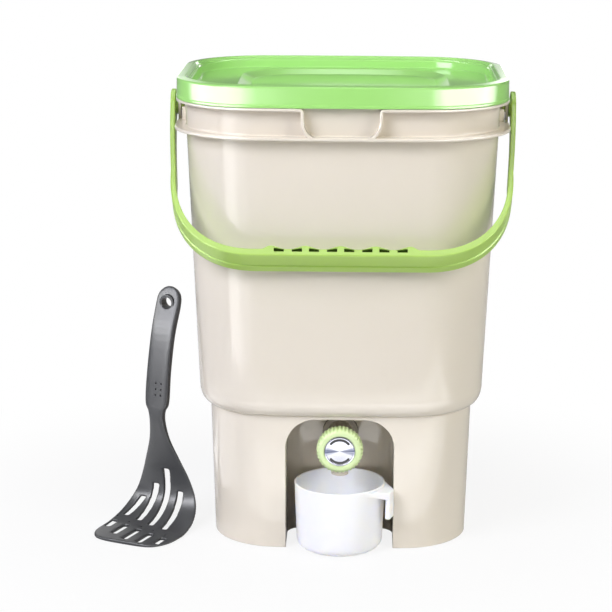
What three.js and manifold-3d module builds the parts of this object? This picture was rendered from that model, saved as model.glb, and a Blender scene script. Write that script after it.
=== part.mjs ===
// Kitchen compost bin with drain tap, snap-on lid, carry handle, strainer, drip cup and masher.
// Millimetres, +Z up, front towards -Y. The origin is the centre of the bounding box's base.
import * as THREE from 'three';
import { mergeVertices } from 'three/addons/utils/BufferGeometryUtils.js';
import Module from 'manifold-3d';

const wasm = await Module();
wasm.setup();

// Fits shared by several pieces
const seatGap = 0.3;
const overrun = 20;
const weld = 0.0001;
const degree = Math.PI / 180;

// Plan of the bin: a rounded rectangle, less deep than wide, whose front and back bulge
const depthShortfall = 32;
const frontBow = 7.1;
const cornerSteps = 6;
const bowSteps = 5;

// Bucket
const wall = 2.5;
const footHalfWidth = 119;
const footCorner = 55.5;
const stepHeight = 129;
const stepFlare = 3.5;
const stepBead = 0.8;
const shoulderRise = 19;
const shoulderOverhang = 10;
const shoulderCorner = 62;
const shoulderSteps = 4;
const mouthHeight = 430;
const mouthHalfWidth = 144;
const mouthCorner = 67;
const ribDrop = 43;
const ribThickness = 3;
const flangeDrop = 17.4;
const flangeThickness = 2.5;
const collarOverhang = 8.8;
const collarCorner = 74;
const floorDrop = 6.5;
const ledgeRise = 9;
const ledgeWidth = 6.5;

// Thumb notch in the middle of the flange, edged by two S-shaped ribs
const notchTopHalfWidth = 34.4;
const notchBottomHalfWidth = 24;
const notchRibThickness = 2.6;
const notchStraightShare = 0.35;

// Ears on both sides that carry the handle
const pivotDrop = 28.5;
const earHalfLength = 17;
const earPlate = 2.5;
const pinRadius = 4.7;

// Alcove in the front of the skirt, for the tap and the cup
const alcoveSideRoom = 7.8;
const alcoveCrownGap = 4;
const alcoveArchRadius = 27.5;
const alcoveBackRoom = 5.9;
const alcovePlanRadius = 15;

// Lid
const lidSetback = 1.8;
const lidCorner = 71.5;
const lidWall = 2.2;
const lidEdgeRound = 2.4;
const lidRimWidth = 14.5;
const lidRecess = 10.8;
const lidRecessDraft = 0.9;
const panelHalfWidth = 100.5;
const panelHalfDepth = 90;
const panelCorner = 30;
const panelRamp = 12;
const panelDrop = 2.5;
const sealThickness = 2.2;

// Carry handle, a bail that hangs forward until its grip lies on the bucket
const handleReach = 179;
const handleStandoff = 2.2;
const handleDraw = 5.1;
const armSteps = 4;
const handleBendReach = 94;
const handleBendWidth = 82;
const armThickness = 4.5;
const gripThickness = 7.2;
const strapWidth = 26;
const strapEndRadius = 14.5;
const bendSteps = 9;
const bossRadius = 9;
const waveCount = 5;
const wavePitch = 31;
const waveHeight = 3.6;
const waveSteps = 8;
const waveTailShare = 0.8;
const pocketLength = 9;
const pocketHeight = 2.4;
const pocketDepth = 5;
const pocketOffset = 7.5;
const pocketInset = 1.2;

// Strainer
const strainerThickness = 2.5;
const strainerLip = 6;
const strainerClearance = 0.6;
const slotLength = 22;
const slotWidth = 5;
const slotColumns = 7;
const slotRows = 11;
const slotGapX = 7;
const slotGapY = 10;
const liftPostRadius = 9;
const liftPostHeight = 22;

// Drain tap on a horizontal axis through the alcove's back wall
const tapDrop = 29;
const tapFront = 65;
const tapSides = 28;
const stemRadius = 10;
const stemBore = 6;
const stemTail = 12;
const washerRadius = 17;
const washerThickness = 2.4;
const nutRadius = 17.5;
const nutThickness = 7;
const tapFlangeThickness = 3;
const barrelRadius = 12.5;
const plugRadius = 7.7;
const plugBore = 5;
const plugLength = 38;
const plugBoreShare = 0.62;
const portRadius = 4.6;
const spoutRadius = 8;
const spoutBore = 5.5;
const spoutSetback = 39;
const spoutDrop = 29;
const ringSection = 0.9;
const plugStemRadius = 5;
const knobRadius = 21.5;
const knobLength = 16.5;
const knobEdge = 5;
const knobSkirtWall = 4;
const knobSkirtDepth = 6;
const knurlCount = 36;
const knurlDepth = 0.9;
const discRadius = 13.9;
const discThickness = 1.9;
const discInset = 0.6;
const screwHeadRadius = 6.8;
const screwHeadThickness = 1.5;
const screwRadius = 1.6;
const screwLength = 9;

// Drip cup
const cupRadius = 42;
const cupBaseRadius = 39.5;
const cupSpoutGap = 4;
const cupWall = 1.8;
const cupBaseRound = 9;
const cupSides = 40;
const cupSetIn = 10.1;
const cupHookGap = 5.5;
const cupHookThickness = 4.6;
const cupHookWidth = 12;
const cupHookDrop = 5;
const cupHookLength = 25;
const cupHookTurn = 21;
const cupHookWall = 2.2;

// Masher, a slotted blade with a flat foot
const masherX = -186;
const masherY = -52;
const masherTurn = 24;
const masherLength = 227;
const masherFootLength = 41.5;
const masherWidth = 84;
const masherBladeThickness = 3.4;
const masherNeckWidth = 15.6;
const masherHandleWidth = 24.2;
const masherHandleThickness = 9;
const masherLean = 54;
const masherHoleRadius = 5.4;
const masherHoleDrop = 13.6;
const masherSlotWidth = 5.4;
const masherSlotPitch = 16.6;
const masherSlotOffsetShare = 0.17;
const masherSlotSetShare = 0.5;
const masherSlotSlantShare = 0.31;
const masherSlotBow = 10.4;
const masherSlotTaperShare = 0.11;
const masherFootSlots = 5;
const masherFootSlotLength = 29;
const masherBladeSlotWidth = 5;
// Shares of the half width at a slot's low and high end, and the stations where it starts and ends
const masherBladeSlotShares = [
  [-0.74, -0.54, 5.7, 7.4],
  [-0.34, -0.25, 5.4, 8.4],
  [0.04, 0.05, 5.1, 9.4],
  [0.43, 0.38, 4.8, 8.1],
];
const masherSectionSides = 14;

// Colours and finishes
const finishes = {
  beige: { color: 0xe9e1d2, roughness: 0.32, metalness: 0 },
  green: { color: 0xa6df84, roughness: 0.28, metalness: 0 },
  lime: { color: 0xb2d873, roughness: 0.36, metalness: 0 },
  knobLime: { color: 0xbfe07c, roughness: 0.4, metalness: 0 },
  white: { color: 0xf6f6f9, roughness: 0.35, metalness: 0 },
  charcoal: { color: 0x4b4c4e, roughness: 0.45, metalness: 0 },
  rubber: { color: 0x2b2b2d, roughness: 0.8, metalness: 0 },
  greyPlastic: { color: 0xd9d9d6, roughness: 0.45, metalness: 0 },
  bright: { color: 0xe4e6ea, roughness: 0.18, metalness: 1 },
  steel: { color: 0xb8bbc0, roughness: 0.3, metalness: 1 },
};

// Sizes that follow from the ones above
const pivotHoleRadius = pinRadius + seatGap;
const stepHalfWidth = footHalfWidth + stepFlare;
const shoulderHeight = stepHeight + shoulderRise;
const shoulderHalfWidth = stepHalfWidth + shoulderOverhang;
const ledgeHeight = stepHeight + ledgeRise;
const ribHeight = mouthHeight - ribDrop;
const flangeHeight = mouthHeight - flangeDrop;
const pivotHeight = mouthHeight - pivotDrop;
const collarHalfWidth = mouthHalfWidth + collarOverhang;
const alcoveHalfWidth = cupRadius + alcoveSideRoom;
const alcoveCrown = stepHeight - alcoveCrownGap;
const tapHeight = alcoveCrown - tapDrop;
const floorHeight = tapHeight - nutRadius - floorDrop;
const cupHeight = tapHeight - spoutDrop - cupSpoutGap;
const lidHalfWidth = collarHalfWidth - lidSetback;
const skirtBottom = flangeHeight + flangeThickness + seatGap;
const channelTop = mouthHeight + seatGap + sealThickness + seatGap;
const lidTop = channelTop + lidWall;
const recessFloor = lidTop - lidRecess;
const handleHalfWidth = collarHalfWidth + seatGap + handleStandoff + armThickness;

function planPoints(halfWidth, corner, shortfall = depthShortfall, bow = frontBow) {
  const halfDepth = halfWidth - shortfall;
  const radius = Math.min(corner, halfDepth * 0.98);
  const corners = [[1, -1, -90], [1, 1, 0], [-1, 1, 90], [-1, -1, 180]];
  const points = [];
  corners.forEach(([sideX, sideY, start], index) => {
    const centreX = sideX * (halfWidth - radius);
    const centreY = sideY * (halfDepth - radius);
    for (let step = 0; step <= cornerSteps; step += 1) {
      const angle = (start + (90 * step) / cornerSteps) * degree;
      points.push([centreX + radius * Math.cos(angle), centreY + radius * Math.sin(angle)]);
    }
    const alongX = index % 2 === 1;
    const steps = alongX ? bowSteps : 1;
    for (let step = 1; step <= steps; step += 1) {
      const share = step / (steps + 1);
      if (alongX) points.push([centreX * (1 - 2 * share), sideY * halfDepth]);
      else points.push([sideX * halfWidth, centreY * (1 - 2 * share)]);
    }
  });
  return points.map(([x, y]) => {
    const reach = Math.min(1, Math.abs(y) / halfDepth);
    return [x, y + Math.sign(y) * bow * (1 - (x / halfWidth) ** 2) * reach];
  });
}

const ringAt = (points, z) => points.map(([x, y]) => new THREE.Vector3(x, y, z));

// Joins a row of rings into one closed surface; the row ends in caps, or closes on itself
function loft(rings, closed = false) {
  const count = rings[0].length;
  const positions = rings.flatMap((ring) => ring.flatMap((p) => [p.x, p.y, p.z]));
  const index = [];
  const rows = closed ? rings.length : rings.length - 1;
  for (let row = 0; row < rows; row += 1) {
    const low = row * count;
    const high = ((row + 1) % rings.length) * count;
    for (let i = 0; i < count; i += 1) {
      const j = (i + 1) % count;
      index.push(low + i, low + j, high + j, low + i, high + j, high + i);
    }
  }
  if (!closed) {
    const ends = [[0, false], [rings.length - 1, true]];
    ends.forEach(([row, upward]) => {
      const centre = rings[row].reduce((sum, p) => sum.add(p), new THREE.Vector3());
      centre.divideScalar(count);
      const hub = positions.length / 3;
      positions.push(centre.x, centre.y, centre.z);
      for (let i = 0; i < count; i += 1) {
        const [a, b] = [row * count + i, row * count + ((i + 1) % count)];
        index.push(hub, upward ? a : b, upward ? b : a);
      }
    });
  }
  const geometry = new THREE.BufferGeometry();
  geometry.setAttribute('position', new THREE.Float32BufferAttribute(positions, 3));
  geometry.setIndex(index);
  return geometry;
}

// Turns a closed geometry into a solid, without its slivers of no area
function solid(geometry) {
  const bare = geometry.clone();
  bare.deleteAttribute('normal');
  bare.deleteAttribute('uv');
  const merged = mergeVertices(bare, weld);
  const triangles = [];
  const { array } = merged.index;
  for (let i = 0; i < array.length; i += 3) {
    const [a, b, c] = [array[i], array[i + 1], array[i + 2]];
    if (a !== b && b !== c && c !== a) triangles.push(a, b, c);
  }
  return new wasm.Manifold(new wasm.Mesh({
    numProp: 3,
    vertProperties: new Float32Array(merged.attributes.position.array),
    triVerts: new Uint32Array(triangles),
  }));
}

function geometryOf(shape) {
  const { vertProperties, triVerts } = shape.getMesh();
  const geometry = new THREE.BufferGeometry();
  geometry.setAttribute('position', new THREE.BufferAttribute(vertProperties, 3));
  geometry.setIndex(new THREE.BufferAttribute(triVerts, 1));
  geometry.computeVertexNormals();
  return geometry;
}

const joined = (shapes) => shapes.reduce((whole, next) => whole.add(next));
const cutAway = (shape, cutters) => cutters.reduce((whole, next) => whole.subtract(next), shape);

function block(x0, x1, y0, y1, z0, z1) {
  const geometry = new THREE.BoxGeometry(x1 - x0, y1 - y0, z1 - z0);
  geometry.translate((x0 + x1) / 2, (y0 + y1) / 2, (z0 + z1) / 2);
  return solid(geometry);
}

function rod(axis, radius, start, end, sides, centre = [0, 0, 0]) {
  const geometry = new THREE.CylinderGeometry(radius, radius, end - start, sides);
  geometry.translate(0, (start + end) / 2, 0);
  if (axis === 'x') geometry.rotateZ(-90 * degree);
  if (axis === 'z') geometry.rotateX(90 * degree);
  geometry.translate(...centre);
  return solid(geometry);
}

function shapeOf(points) {
  return new THREE.Shape(points.map(([x, y]) => new THREE.Vector2(x, y)));
}

// Extrudes an outline drawn in X and Z from y0 to y1
function alongY(shape, y0, y1, curveSegments = 8) {
  const options = { depth: y1 - y0, bevelEnabled: false, curveSegments };
  const geometry = new THREE.ExtrudeGeometry(shape, options);
  geometry.rotateX(90 * degree);
  geometry.translate(0, y1, 0);
  return solid(geometry);
}

function upright(shape, z0, z1, curveSegments = 8) {
  const options = { depth: z1 - z0, bevelEnabled: false, curveSegments };
  const geometry = new THREE.ExtrudeGeometry(shape, options);
  geometry.translate(0, 0, z0);
  return solid(geometry);
}

function mesh(name, shape, finish) {
  const material = new THREE.MeshStandardMaterial(finishes[finish]);
  const made = new THREE.Mesh(geometryOf(shape), material);
  made.name = name;
  return made;
}

const blend = (from, to, share) => from + (to - from) * share;

function skirtHalfWidth(z) {
  return blend(footHalfWidth, stepHalfWidth, z / stepHeight);
}

const upperShare = (z) => (z - shoulderHeight) / (mouthHeight - shoulderHeight);
const upperHalfWidth = (z) => blend(shoulderHalfWidth, mouthHalfWidth, upperShare(z));
const upperCorner = (z) => blend(shoulderCorner, mouthCorner, upperShare(z));

const frontOf = (halfWidth) => -(halfWidth - depthShortfall + frontBow);
const cupCentre = frontOf(footHalfWidth) + cupSetIn;
const alcoveBack = cupCentre + cupRadius + alcoveBackRoom;

// The bucket's outer skin from the foot to a level just above the shoulder
function outerLevels() {
  const levels = [
    [footHalfWidth, footCorner, 0],
    [stepHalfWidth, footCorner, stepHeight - 2 * stepBead],
    [stepHalfWidth + stepBead, footCorner, stepHeight - stepBead],
    [stepHalfWidth, footCorner, stepHeight],
  ];
  for (let step = 1; step <= shoulderSteps; step += 1) {
    const angle = (90 * step * degree) / shoulderSteps;
    const halfWidth = stepHalfWidth + shoulderOverhang * Math.sin(angle);
    const corner = blend(footCorner, shoulderCorner, step / shoulderSteps);
    levels.push([halfWidth, corner, stepHeight + shoulderRise * (1 - Math.cos(angle))]);
  }
  return levels;
}

const ringsOf = (levels) => levels.map(
  ([halfWidth, corner, z]) => ringAt(planPoints(halfWidth, corner), z));

function buildBody() {
  const ribTop = ribHeight + ribThickness;
  const upper = (z, inset = 0) => [upperHalfWidth(z) - inset, upperCorner(z) - inset, z];
  const skirtInner = (z) => [skirtHalfWidth(z) - wall, footCorner - wall, z];
  const ledgeOuter = upperHalfWidth(ledgeHeight) - 2 * wall;
  const shell = solid(loft(ringsOf([
    skirtInner(floorHeight - wall),
    skirtInner(0),
    ...outerLevels(),
    upper(ribHeight),
    [collarHalfWidth, collarCorner, ribHeight],
    [collarHalfWidth, collarCorner, ribTop],
    upper(ribTop),
    upper(mouthHeight),
    upper(mouthHeight, wall),
    upper(shoulderHeight + wall, wall),
    [ledgeOuter, shoulderCorner - wall, ledgeHeight],
    [ledgeOuter - ledgeWidth, footCorner - wall, ledgeHeight],
    skirtInner(floorHeight),
  ])));
  const outerSkin = solid(loft(ringsOf(outerLevels())));

  const archShape = (halfWidth, crown, radius) => {
    const shape = new THREE.Shape();
    shape.moveTo(-halfWidth, -overrun);
    shape.lineTo(halfWidth, -overrun);
    shape.absarc(halfWidth - radius, crown - radius, radius, 0, 0.5 * Math.PI);
    shape.absarc(-halfWidth + radius, crown - radius, radius, 0.5 * Math.PI, Math.PI);
    return shape;
  };
  const planShape = (halfWidth, back, radius) => {
    const shape = new THREE.Shape();
    shape.moveTo(-halfWidth, frontOf(mouthHalfWidth) - overrun);
    shape.lineTo(halfWidth, frontOf(mouthHalfWidth) - overrun);
    shape.absarc(halfWidth - radius, back - radius, radius, 0, 0.5 * Math.PI);
    shape.absarc(-halfWidth + radius, back - radius, radius, 0.5 * Math.PI, Math.PI);
    return shape;
  };
  const niche = (grow) => {
    const front = frontOf(mouthHalfWidth) - overrun;
    const arch = alongY(archShape(alcoveHalfWidth + grow, alcoveCrown + grow, alcoveArchRadius + grow),
      front, alcoveBack + overrun);
    const plan = upright(planShape(alcoveHalfWidth + grow, alcoveBack + grow, alcovePlanRadius + grow),
      -overrun, stepHeight + overrun);
    return arch.intersect(plan);
  };
  const nicheShell = niche(wall).intersect(outerSkin);

  const flange = solid(loft(ringsOf([
    upper(flangeHeight, wall / 2),
    [collarHalfWidth, collarCorner, flangeHeight],
    [collarHalfWidth, collarCorner, flangeHeight + flangeThickness],
    upper(flangeHeight + flangeThickness, wall / 2),
  ]), true));
  const notchCut = block(-notchTopHalfWidth, notchTopHalfWidth, frontOf(collarHalfWidth) - overrun,
    frontOf(upperHalfWidth(flangeHeight)) + wall / 4, flangeHeight - overrun, mouthHeight);

  const collarSolid = solid(loft([
    ringAt(planPoints(collarHalfWidth, collarCorner), ribHeight),
    ringAt(planPoints(collarHalfWidth, collarCorner), flangeHeight + flangeThickness),
  ]));
  const notchRib = (side) => {
    const top = flangeHeight + flangeThickness;
    const straight = blend(top, ribTop, notchStraightShare);
    const edge = (offset) => {
      const rows = [[notchTopHalfWidth + offset, top], [notchTopHalfWidth + offset, straight]];
      const curveSteps = 6;
      for (let step = 1; step <= curveSteps; step += 1) {
        const share = step / curveSteps;
        const slide = 1 - Math.cos(share * 90 * degree);
        rows.push([
          blend(notchTopHalfWidth, notchBottomHalfWidth, slide) + offset,
          blend(straight, ribTop - ribThickness / 2, Math.sin(share * 90 * degree) ** 1.2),
        ]);
      }
      return rows;
    };
    const outline = [...edge(notchRibThickness / 2), ...edge(-notchRibThickness / 2).reverse()];
    const shape = shapeOf(outline.map(([x, z]) => [side * x, z]));
    const deepest = frontOf(upperHalfWidth(ribTop)) + wall / 2;
    return alongY(shape, frontOf(collarHalfWidth) - overrun, deepest).intersect(collarSolid);
  };

  const ear = (side) => {
    const outer = collarHalfWidth;
    const inner = upperHalfWidth(flangeHeight) - wall / 2;
    const span = (near, far, y0, y1, z0, z1) => (
      side > 0 ? block(near, far, y0, y1, z0, z1) : block(-far, -near, y0, y1, z0, z1));
    const plate = span(outer - earPlate, outer, -earHalfLength, earHalfLength,
      ribHeight, flangeHeight + wall / 2);
    const web = (y) => span(inner, outer, y - earPlate / 2, y + earPlate / 2, ribHeight, pivotHeight);
    return joined([plate, web(-earHalfLength + earPlate / 2), web(earHalfLength - earPlate / 2)]);
  };
  const pivotHole = (side) => {
    const reach = [collarHalfWidth - 2 * earPlate, collarHalfWidth + overrun];
    const [start, end] = side > 0 ? reach : [-reach[1], -reach[0]];
    return rod('x', pivotHoleRadius, start, end, 20, [0, 0, pivotHeight]);
  };

  const parts = [shell, nicheShell, flange.subtract(notchCut)];
  [-1, 1].forEach((side) => parts.push(notchRib(side), ear(side)));
  const tapHole = rod('y', stemRadius + seatGap, alcoveBack - overrun / 2, alcoveBack + 2 * wall,
    tapSides, [0, 0, tapHeight]);
  return cutAway(joined(parts), [niche(0), pivotHole(-1), pivotHole(1), tapHole]);
}

function panelRing(inset, z) {
  const halfWidth = panelHalfWidth - inset;
  const halfDepth = panelHalfDepth - inset;
  return ringAt(planPoints(halfWidth, panelCorner - inset, halfWidth - halfDepth), z);
}

function buildLid() {
  const outer = (inset, z) => ringAt(planPoints(lidHalfWidth - inset, lidCorner - inset), z);
  const recessInset = lidRimWidth + lidRecessDraft;
  const rounded = lidEdgeRound * (1 - Math.SQRT1_2);
  return solid(loft([
    panelRing(panelRamp, recessFloor - panelDrop - lidWall),
    panelRing(0, recessFloor - lidWall),
    outer(recessInset - lidWall, recessFloor - lidWall),
    outer(lidRimWidth - lidWall, channelTop),
    outer(lidWall, channelTop),
    outer(lidWall, skirtBottom),
    outer(0, skirtBottom),
    outer(0, lidTop - lidEdgeRound),
    outer(rounded, lidTop - rounded),
    outer(lidEdgeRound, lidTop),
    outer(lidRimWidth - lidEdgeRound, lidTop),
    outer(lidRimWidth - rounded, lidTop - rounded),
    outer(lidRimWidth, lidTop - lidEdgeRound),
    outer(recessInset, recessFloor),
    panelRing(0, recessFloor),
    panelRing(panelRamp, recessFloor - panelDrop),
  ]));
}

function buildLidSeal() {
  const outerInset = lidWall + seatGap;
  const innerInset = lidRimWidth - lidWall - seatGap;
  const top = channelTop - seatGap;
  const ring = (inset, z) => ringAt(planPoints(lidHalfWidth - inset, lidCorner - inset), z);
  return solid(loft([
    ring(innerInset, top - sealThickness),
    ring(outerInset, top - sealThickness),
    ring(outerInset, top),
    ring(innerInset, top),
  ], true));
}

// The angle from straight down at which the grip's lowest inner edge rests against the front wall
function restLean() {
  const reach = handleReach - gripThickness - waveHeight;
  const half = strapWidth / 2;
  const rounds = 12;
  let lean = 45 * degree;
  for (let round = 0; round < rounds; round += 1) {
    const height = pivotHeight - reach * Math.cos(lean) - half * Math.sin(lean);
    const depth = seatGap - frontOf(upperHalfWidth(height));
    lean = Math.asin(Math.min(1, (depth + half * Math.cos(lean)) / reach));
  }
  return lean;
}

function buildHandle() {
  const bendStart = handleReach - handleBendReach;
  const armOuter = (v) => handleHalfWidth - handleDraw * (Math.max(0, v) / bendStart) ** 1.5;
  const bendCentre = armOuter(bendStart) - handleBendWidth;
  const side = (inset, lastInset) => {
    const points = [[armOuter(-strapEndRadius) - inset, -strapEndRadius]];
    for (let step = 0; step <= armSteps; step += 1) {
      const v = (bendStart * step) / armSteps;
      points.push([armOuter(v) - inset, v]);
    }
    for (let step = 1; step <= bendSteps; step += 1) {
      const angle = (90 * step * degree) / bendSteps;
      const depth = blend(inset, lastInset, step / bendSteps);
      points.push([
        bendCentre + (handleBendWidth - depth) * Math.cos(angle),
        bendStart + (handleBendReach - depth) * Math.sin(angle),
      ]);
    }
    return points;
  };
  const outerRight = side(0, 0);
  const innerRight = side(armThickness, gripThickness);
  const lastPeak = (wavePitch * (waveCount - 1)) / 2;
  const wave = [];
  const stepsAcross = (waveCount - 1) * waveSteps;
  const tail = Math.min(wavePitch / 2, (bendCentre - lastPeak) * waveTailShare);
  const innerLine = handleReach - gripThickness;
  for (let step = 0; step <= stepsAcross; step += 1) {
    const u = (2 * lastPeak * step) / stepsAcross - lastPeak;
    const crest = 0.5 + 0.5 * Math.cos((2 * Math.PI * (u - lastPeak)) / wavePitch);
    wave.push([u, innerLine - waveHeight * crest ** 1.3]);
  }
  const mirrored = (points) => points.map(([u, v]) => [-u, v]);
  const outline = [
    ...outerRight, ...mirrored(outerRight).reverse(), ...mirrored(innerRight),
    [-lastPeak - tail, innerLine], ...wave, [lastPeak + tail, innerLine],
    ...innerRight.slice().reverse(),
  ];
  const bail = upright(shapeOf(outline.map(([u, v]) => [u, -v])), -strapWidth / 2, strapWidth / 2);

  const sideShape = new THREE.Shape();
  sideShape.moveTo(-strapWidth / 2, -handleReach - overrun);
  sideShape.lineTo(strapWidth / 2, -handleReach - overrun);
  sideShape.lineTo(strapWidth / 2, -strapEndRadius);
  sideShape.absarc(0, 0, strapEndRadius, 0, Math.PI);
  sideShape.lineTo(-strapWidth / 2, -strapEndRadius);
  const sideGeometry = new THREE.ExtrudeGeometry(sideShape,
    { depth: 2 * (handleHalfWidth + overrun), bevelEnabled: false, curveSegments: 12 });
  sideGeometry.translate(0, 0, -handleHalfWidth - overrun);
  sideGeometry.rotateY(90 * degree);
  const rounded = bail.intersect(solid(sideGeometry));

  const plateFace = collarHalfWidth + seatGap;
  const pinEnd = collarHalfWidth - 2 * earPlate;
  const socket = (sign, radius, from, to, sides) => {
    const [start, end] = sign > 0 ? [from, to] : [-to, -from];
    return rod('x', radius, start, end, sides);
  };
  const armMiddle = armOuter(0) - armThickness / 2;
  const fittings = [-1, 1].flatMap((sign) => [
    socket(sign, bossRadius, plateFace, armMiddle, 20),
    socket(sign, pinRadius, pinEnd, armMiddle, 20),
  ]);

  const pockets = [];
  const pocketCentre = innerLine + pocketInset + pocketHeight / 2 - gripThickness / 8;
  for (let peak = 0; peak < waveCount; peak += 1) {
    const middle = wavePitch * peak - lastPeak;
    [-1, 1].forEach((hand) => {
      const beyond = Math.abs(middle + hand * pocketOffset) > lastPeak;
      if (!beyond) {
        const near = middle + hand * (pocketOffset - pocketLength / 2);
        const far = middle + hand * (pocketOffset + pocketLength / 2);
        const outlinePocket = shapeOf([
          [near, -(pocketCentre - pocketHeight / 2)],
          [far, -(pocketCentre + pocketHeight / 4)],
          [far, -(pocketCentre + pocketHeight / 2)],
          [near, -(pocketCentre + pocketHeight / 2)],
        ]);
        const reach = strapWidth / 2;
        pockets.push(upright(outlinePocket, reach - pocketDepth, reach + overrun));
        pockets.push(upright(outlinePocket, -reach - overrun, -reach + pocketDepth));
      }
    });
  }
  return cutAway(joined([rounded, ...fittings]), pockets);
}

function buildStrainer() {
  const halfWidth = upperHalfWidth(ledgeHeight) - 2 * wall - strainerClearance;
  const corner = shoulderCorner - wall;
  const base = ledgeHeight + seatGap;
  const top = base + strainerThickness;
  const ring = (inset, z) => ringAt(planPoints(halfWidth - inset, corner - inset), z);
  const tray = solid(loft([
    ring(0, base), ring(0, base + strainerLip), ring(strainerThickness, base + strainerLip),
    ring(strainerThickness, top),
  ]));
  const slots = [];
  for (let column = 0; column < slotColumns; column += 1) {
    for (let row = 0; row < slotRows; row += 1) {
      const x = (column - (slotColumns - 1) / 2) * (slotLength + slotGapX);
      const y = (row - (slotRows - 1) / 2) * (slotWidth + slotGapY);
      const nearPost = Math.abs(x) < slotLength && Math.abs(y) < liftPostRadius + slotWidth;
      const outward = Math.abs(x) / halfWidth + Math.abs(y) / (halfWidth - depthShortfall);
      const inCorner = outward > 1.45;
      if (!nearPost && !inCorner) {
        slots.push(block(x - slotLength / 2, x + slotLength / 2, y - slotWidth / 2, y + slotWidth / 2,
          base - overrun, top + overrun));
      }
    }
  }
  const post = rod('z', liftPostRadius, base + strainerThickness / 2, top + liftPostHeight, 20);
  return cutAway(tray, slots).add(post);
}

// Distances along the tap's line, from the alcove's back wall towards the front
const tapY = (distance) => alcoveBack - distance;

// Turned about the tap's line; the profile lists radius and distance, from the back to the front
function turned(profile, sides) {
  const points = profile.map(([radius, distance]) => new THREE.Vector2(radius, tapY(distance)));
  const geometry = new THREE.LatheGeometry(points.reverse(), sides);
  geometry.translate(0, 0, tapHeight);
  return solid(geometry);
}

const outerWasherFace = seatGap + washerThickness;
const tapFlangeStart = outerWasherFace + seatGap;
const knobFront = tapFront;
const knobBack = knobFront - knobLength;
const discRecess = discThickness + seatGap + discInset;
const screwSeat = discRecess + screwHeadThickness + seatGap;
const knobWebBack = knobBack + knobSkirtDepth;
const barrelFront = knobWebBack - seatGap;
const innerWasherStart = wall + seatGap;
const nutStart = innerWasherStart + washerThickness + seatGap;
const plugFront = barrelFront;
const ringSeat = 3;

function buildTapBody() {
  const stemEnd = -(nutStart + nutThickness + stemTail / 2);
  const bore = plugRadius + seatGap;
  const plugBack = plugFront - plugLength;
  const flangeFront = tapFlangeStart + tapFlangeThickness;
  const housing = turned([
    [stemBore, stemEnd], [stemRadius, stemEnd], [stemRadius, tapFlangeStart],
    [washerRadius, tapFlangeStart], [washerRadius, flangeFront], [barrelRadius, flangeFront],
    [barrelRadius, barrelFront], [bore, barrelFront], [bore, plugBack - seatGap],
    [stemBore, plugBack - seatGap], [stemBore, stemEnd],
  ], tapSides);
  const spoutY = tapY(spoutSetback);
  const spoutOuter = rod('z', spoutRadius, tapHeight - spoutDrop, tapHeight, 20, [0, spoutY, 0]);
  const spoutInner = rod('z', spoutBore, tapHeight - spoutDrop - overrun, tapHeight, 20, [0, spoutY, 0]);
  const core = rod('y', bore, spoutY - overrun, spoutY + overrun, tapSides, [0, 0, tapHeight]);
  const spout = spoutOuter.subtract(core);
  return housing.add(spout).subtract(spoutInner);
}

function washer(start) {
  const hole = stemRadius + seatGap;
  const end = start + washerThickness;
  return turned([
    [hole, start], [washerRadius, start], [washerRadius, end], [hole, end], [hole, start],
  ], tapSides);
}

function buildLockNut() {
  const corners = 6;
  const centre = [0, 0, tapHeight];
  const hexagon = rod('y', nutRadius, tapY(-nutStart), tapY(-nutStart - nutThickness), corners, centre);
  const bore = rod('y', stemRadius + seatGap, tapY(overrun), tapY(-overrun - nutStart), tapSides, centre);
  return hexagon.subtract(bore);
}

function buildPlug() {
  const back = plugFront - plugLength;
  const grooveFloor = plugRadius - 2 * ringSection - seatGap;
  const grooveFront = plugFront - ringSeat;
  const grooveBack = grooveFront - 2 * ringSection - 2 * seatGap;
  const boreEnd = back + plugLength * plugBoreShare;
  const stemFront = knobFront - screwSeat;
  const screwHole = screwRadius + seatGap;
  const screwEnd = stemFront - screwLength - seatGap;
  const core = turned([
    [0, boreEnd], [plugBore, boreEnd], [plugBore, back], [plugRadius, back],
    [plugRadius, grooveBack], [grooveFloor, grooveBack], [grooveFloor, grooveFront],
    [plugRadius, grooveFront], [plugRadius, plugFront], [plugStemRadius, plugFront],
    [plugStemRadius, stemFront], [screwHole, stemFront], [screwHole, screwEnd], [0, screwEnd],
  ], tapSides);
  const port = rod('x', portRadius, 0, overrun, 16, [0, tapY(spoutSetback), tapHeight]);
  return core.subtract(port);
}

function buildPlugSeal() {
  const middle = plugFront - ringSeat - ringSection - seatGap;
  const ring = new THREE.TorusGeometry(plugRadius - ringSection, ringSection, 8, tapSides);
  ring.rotateX(90 * degree);
  ring.translate(0, tapY(middle), tapHeight);
  return solid(ring);
}

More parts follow.
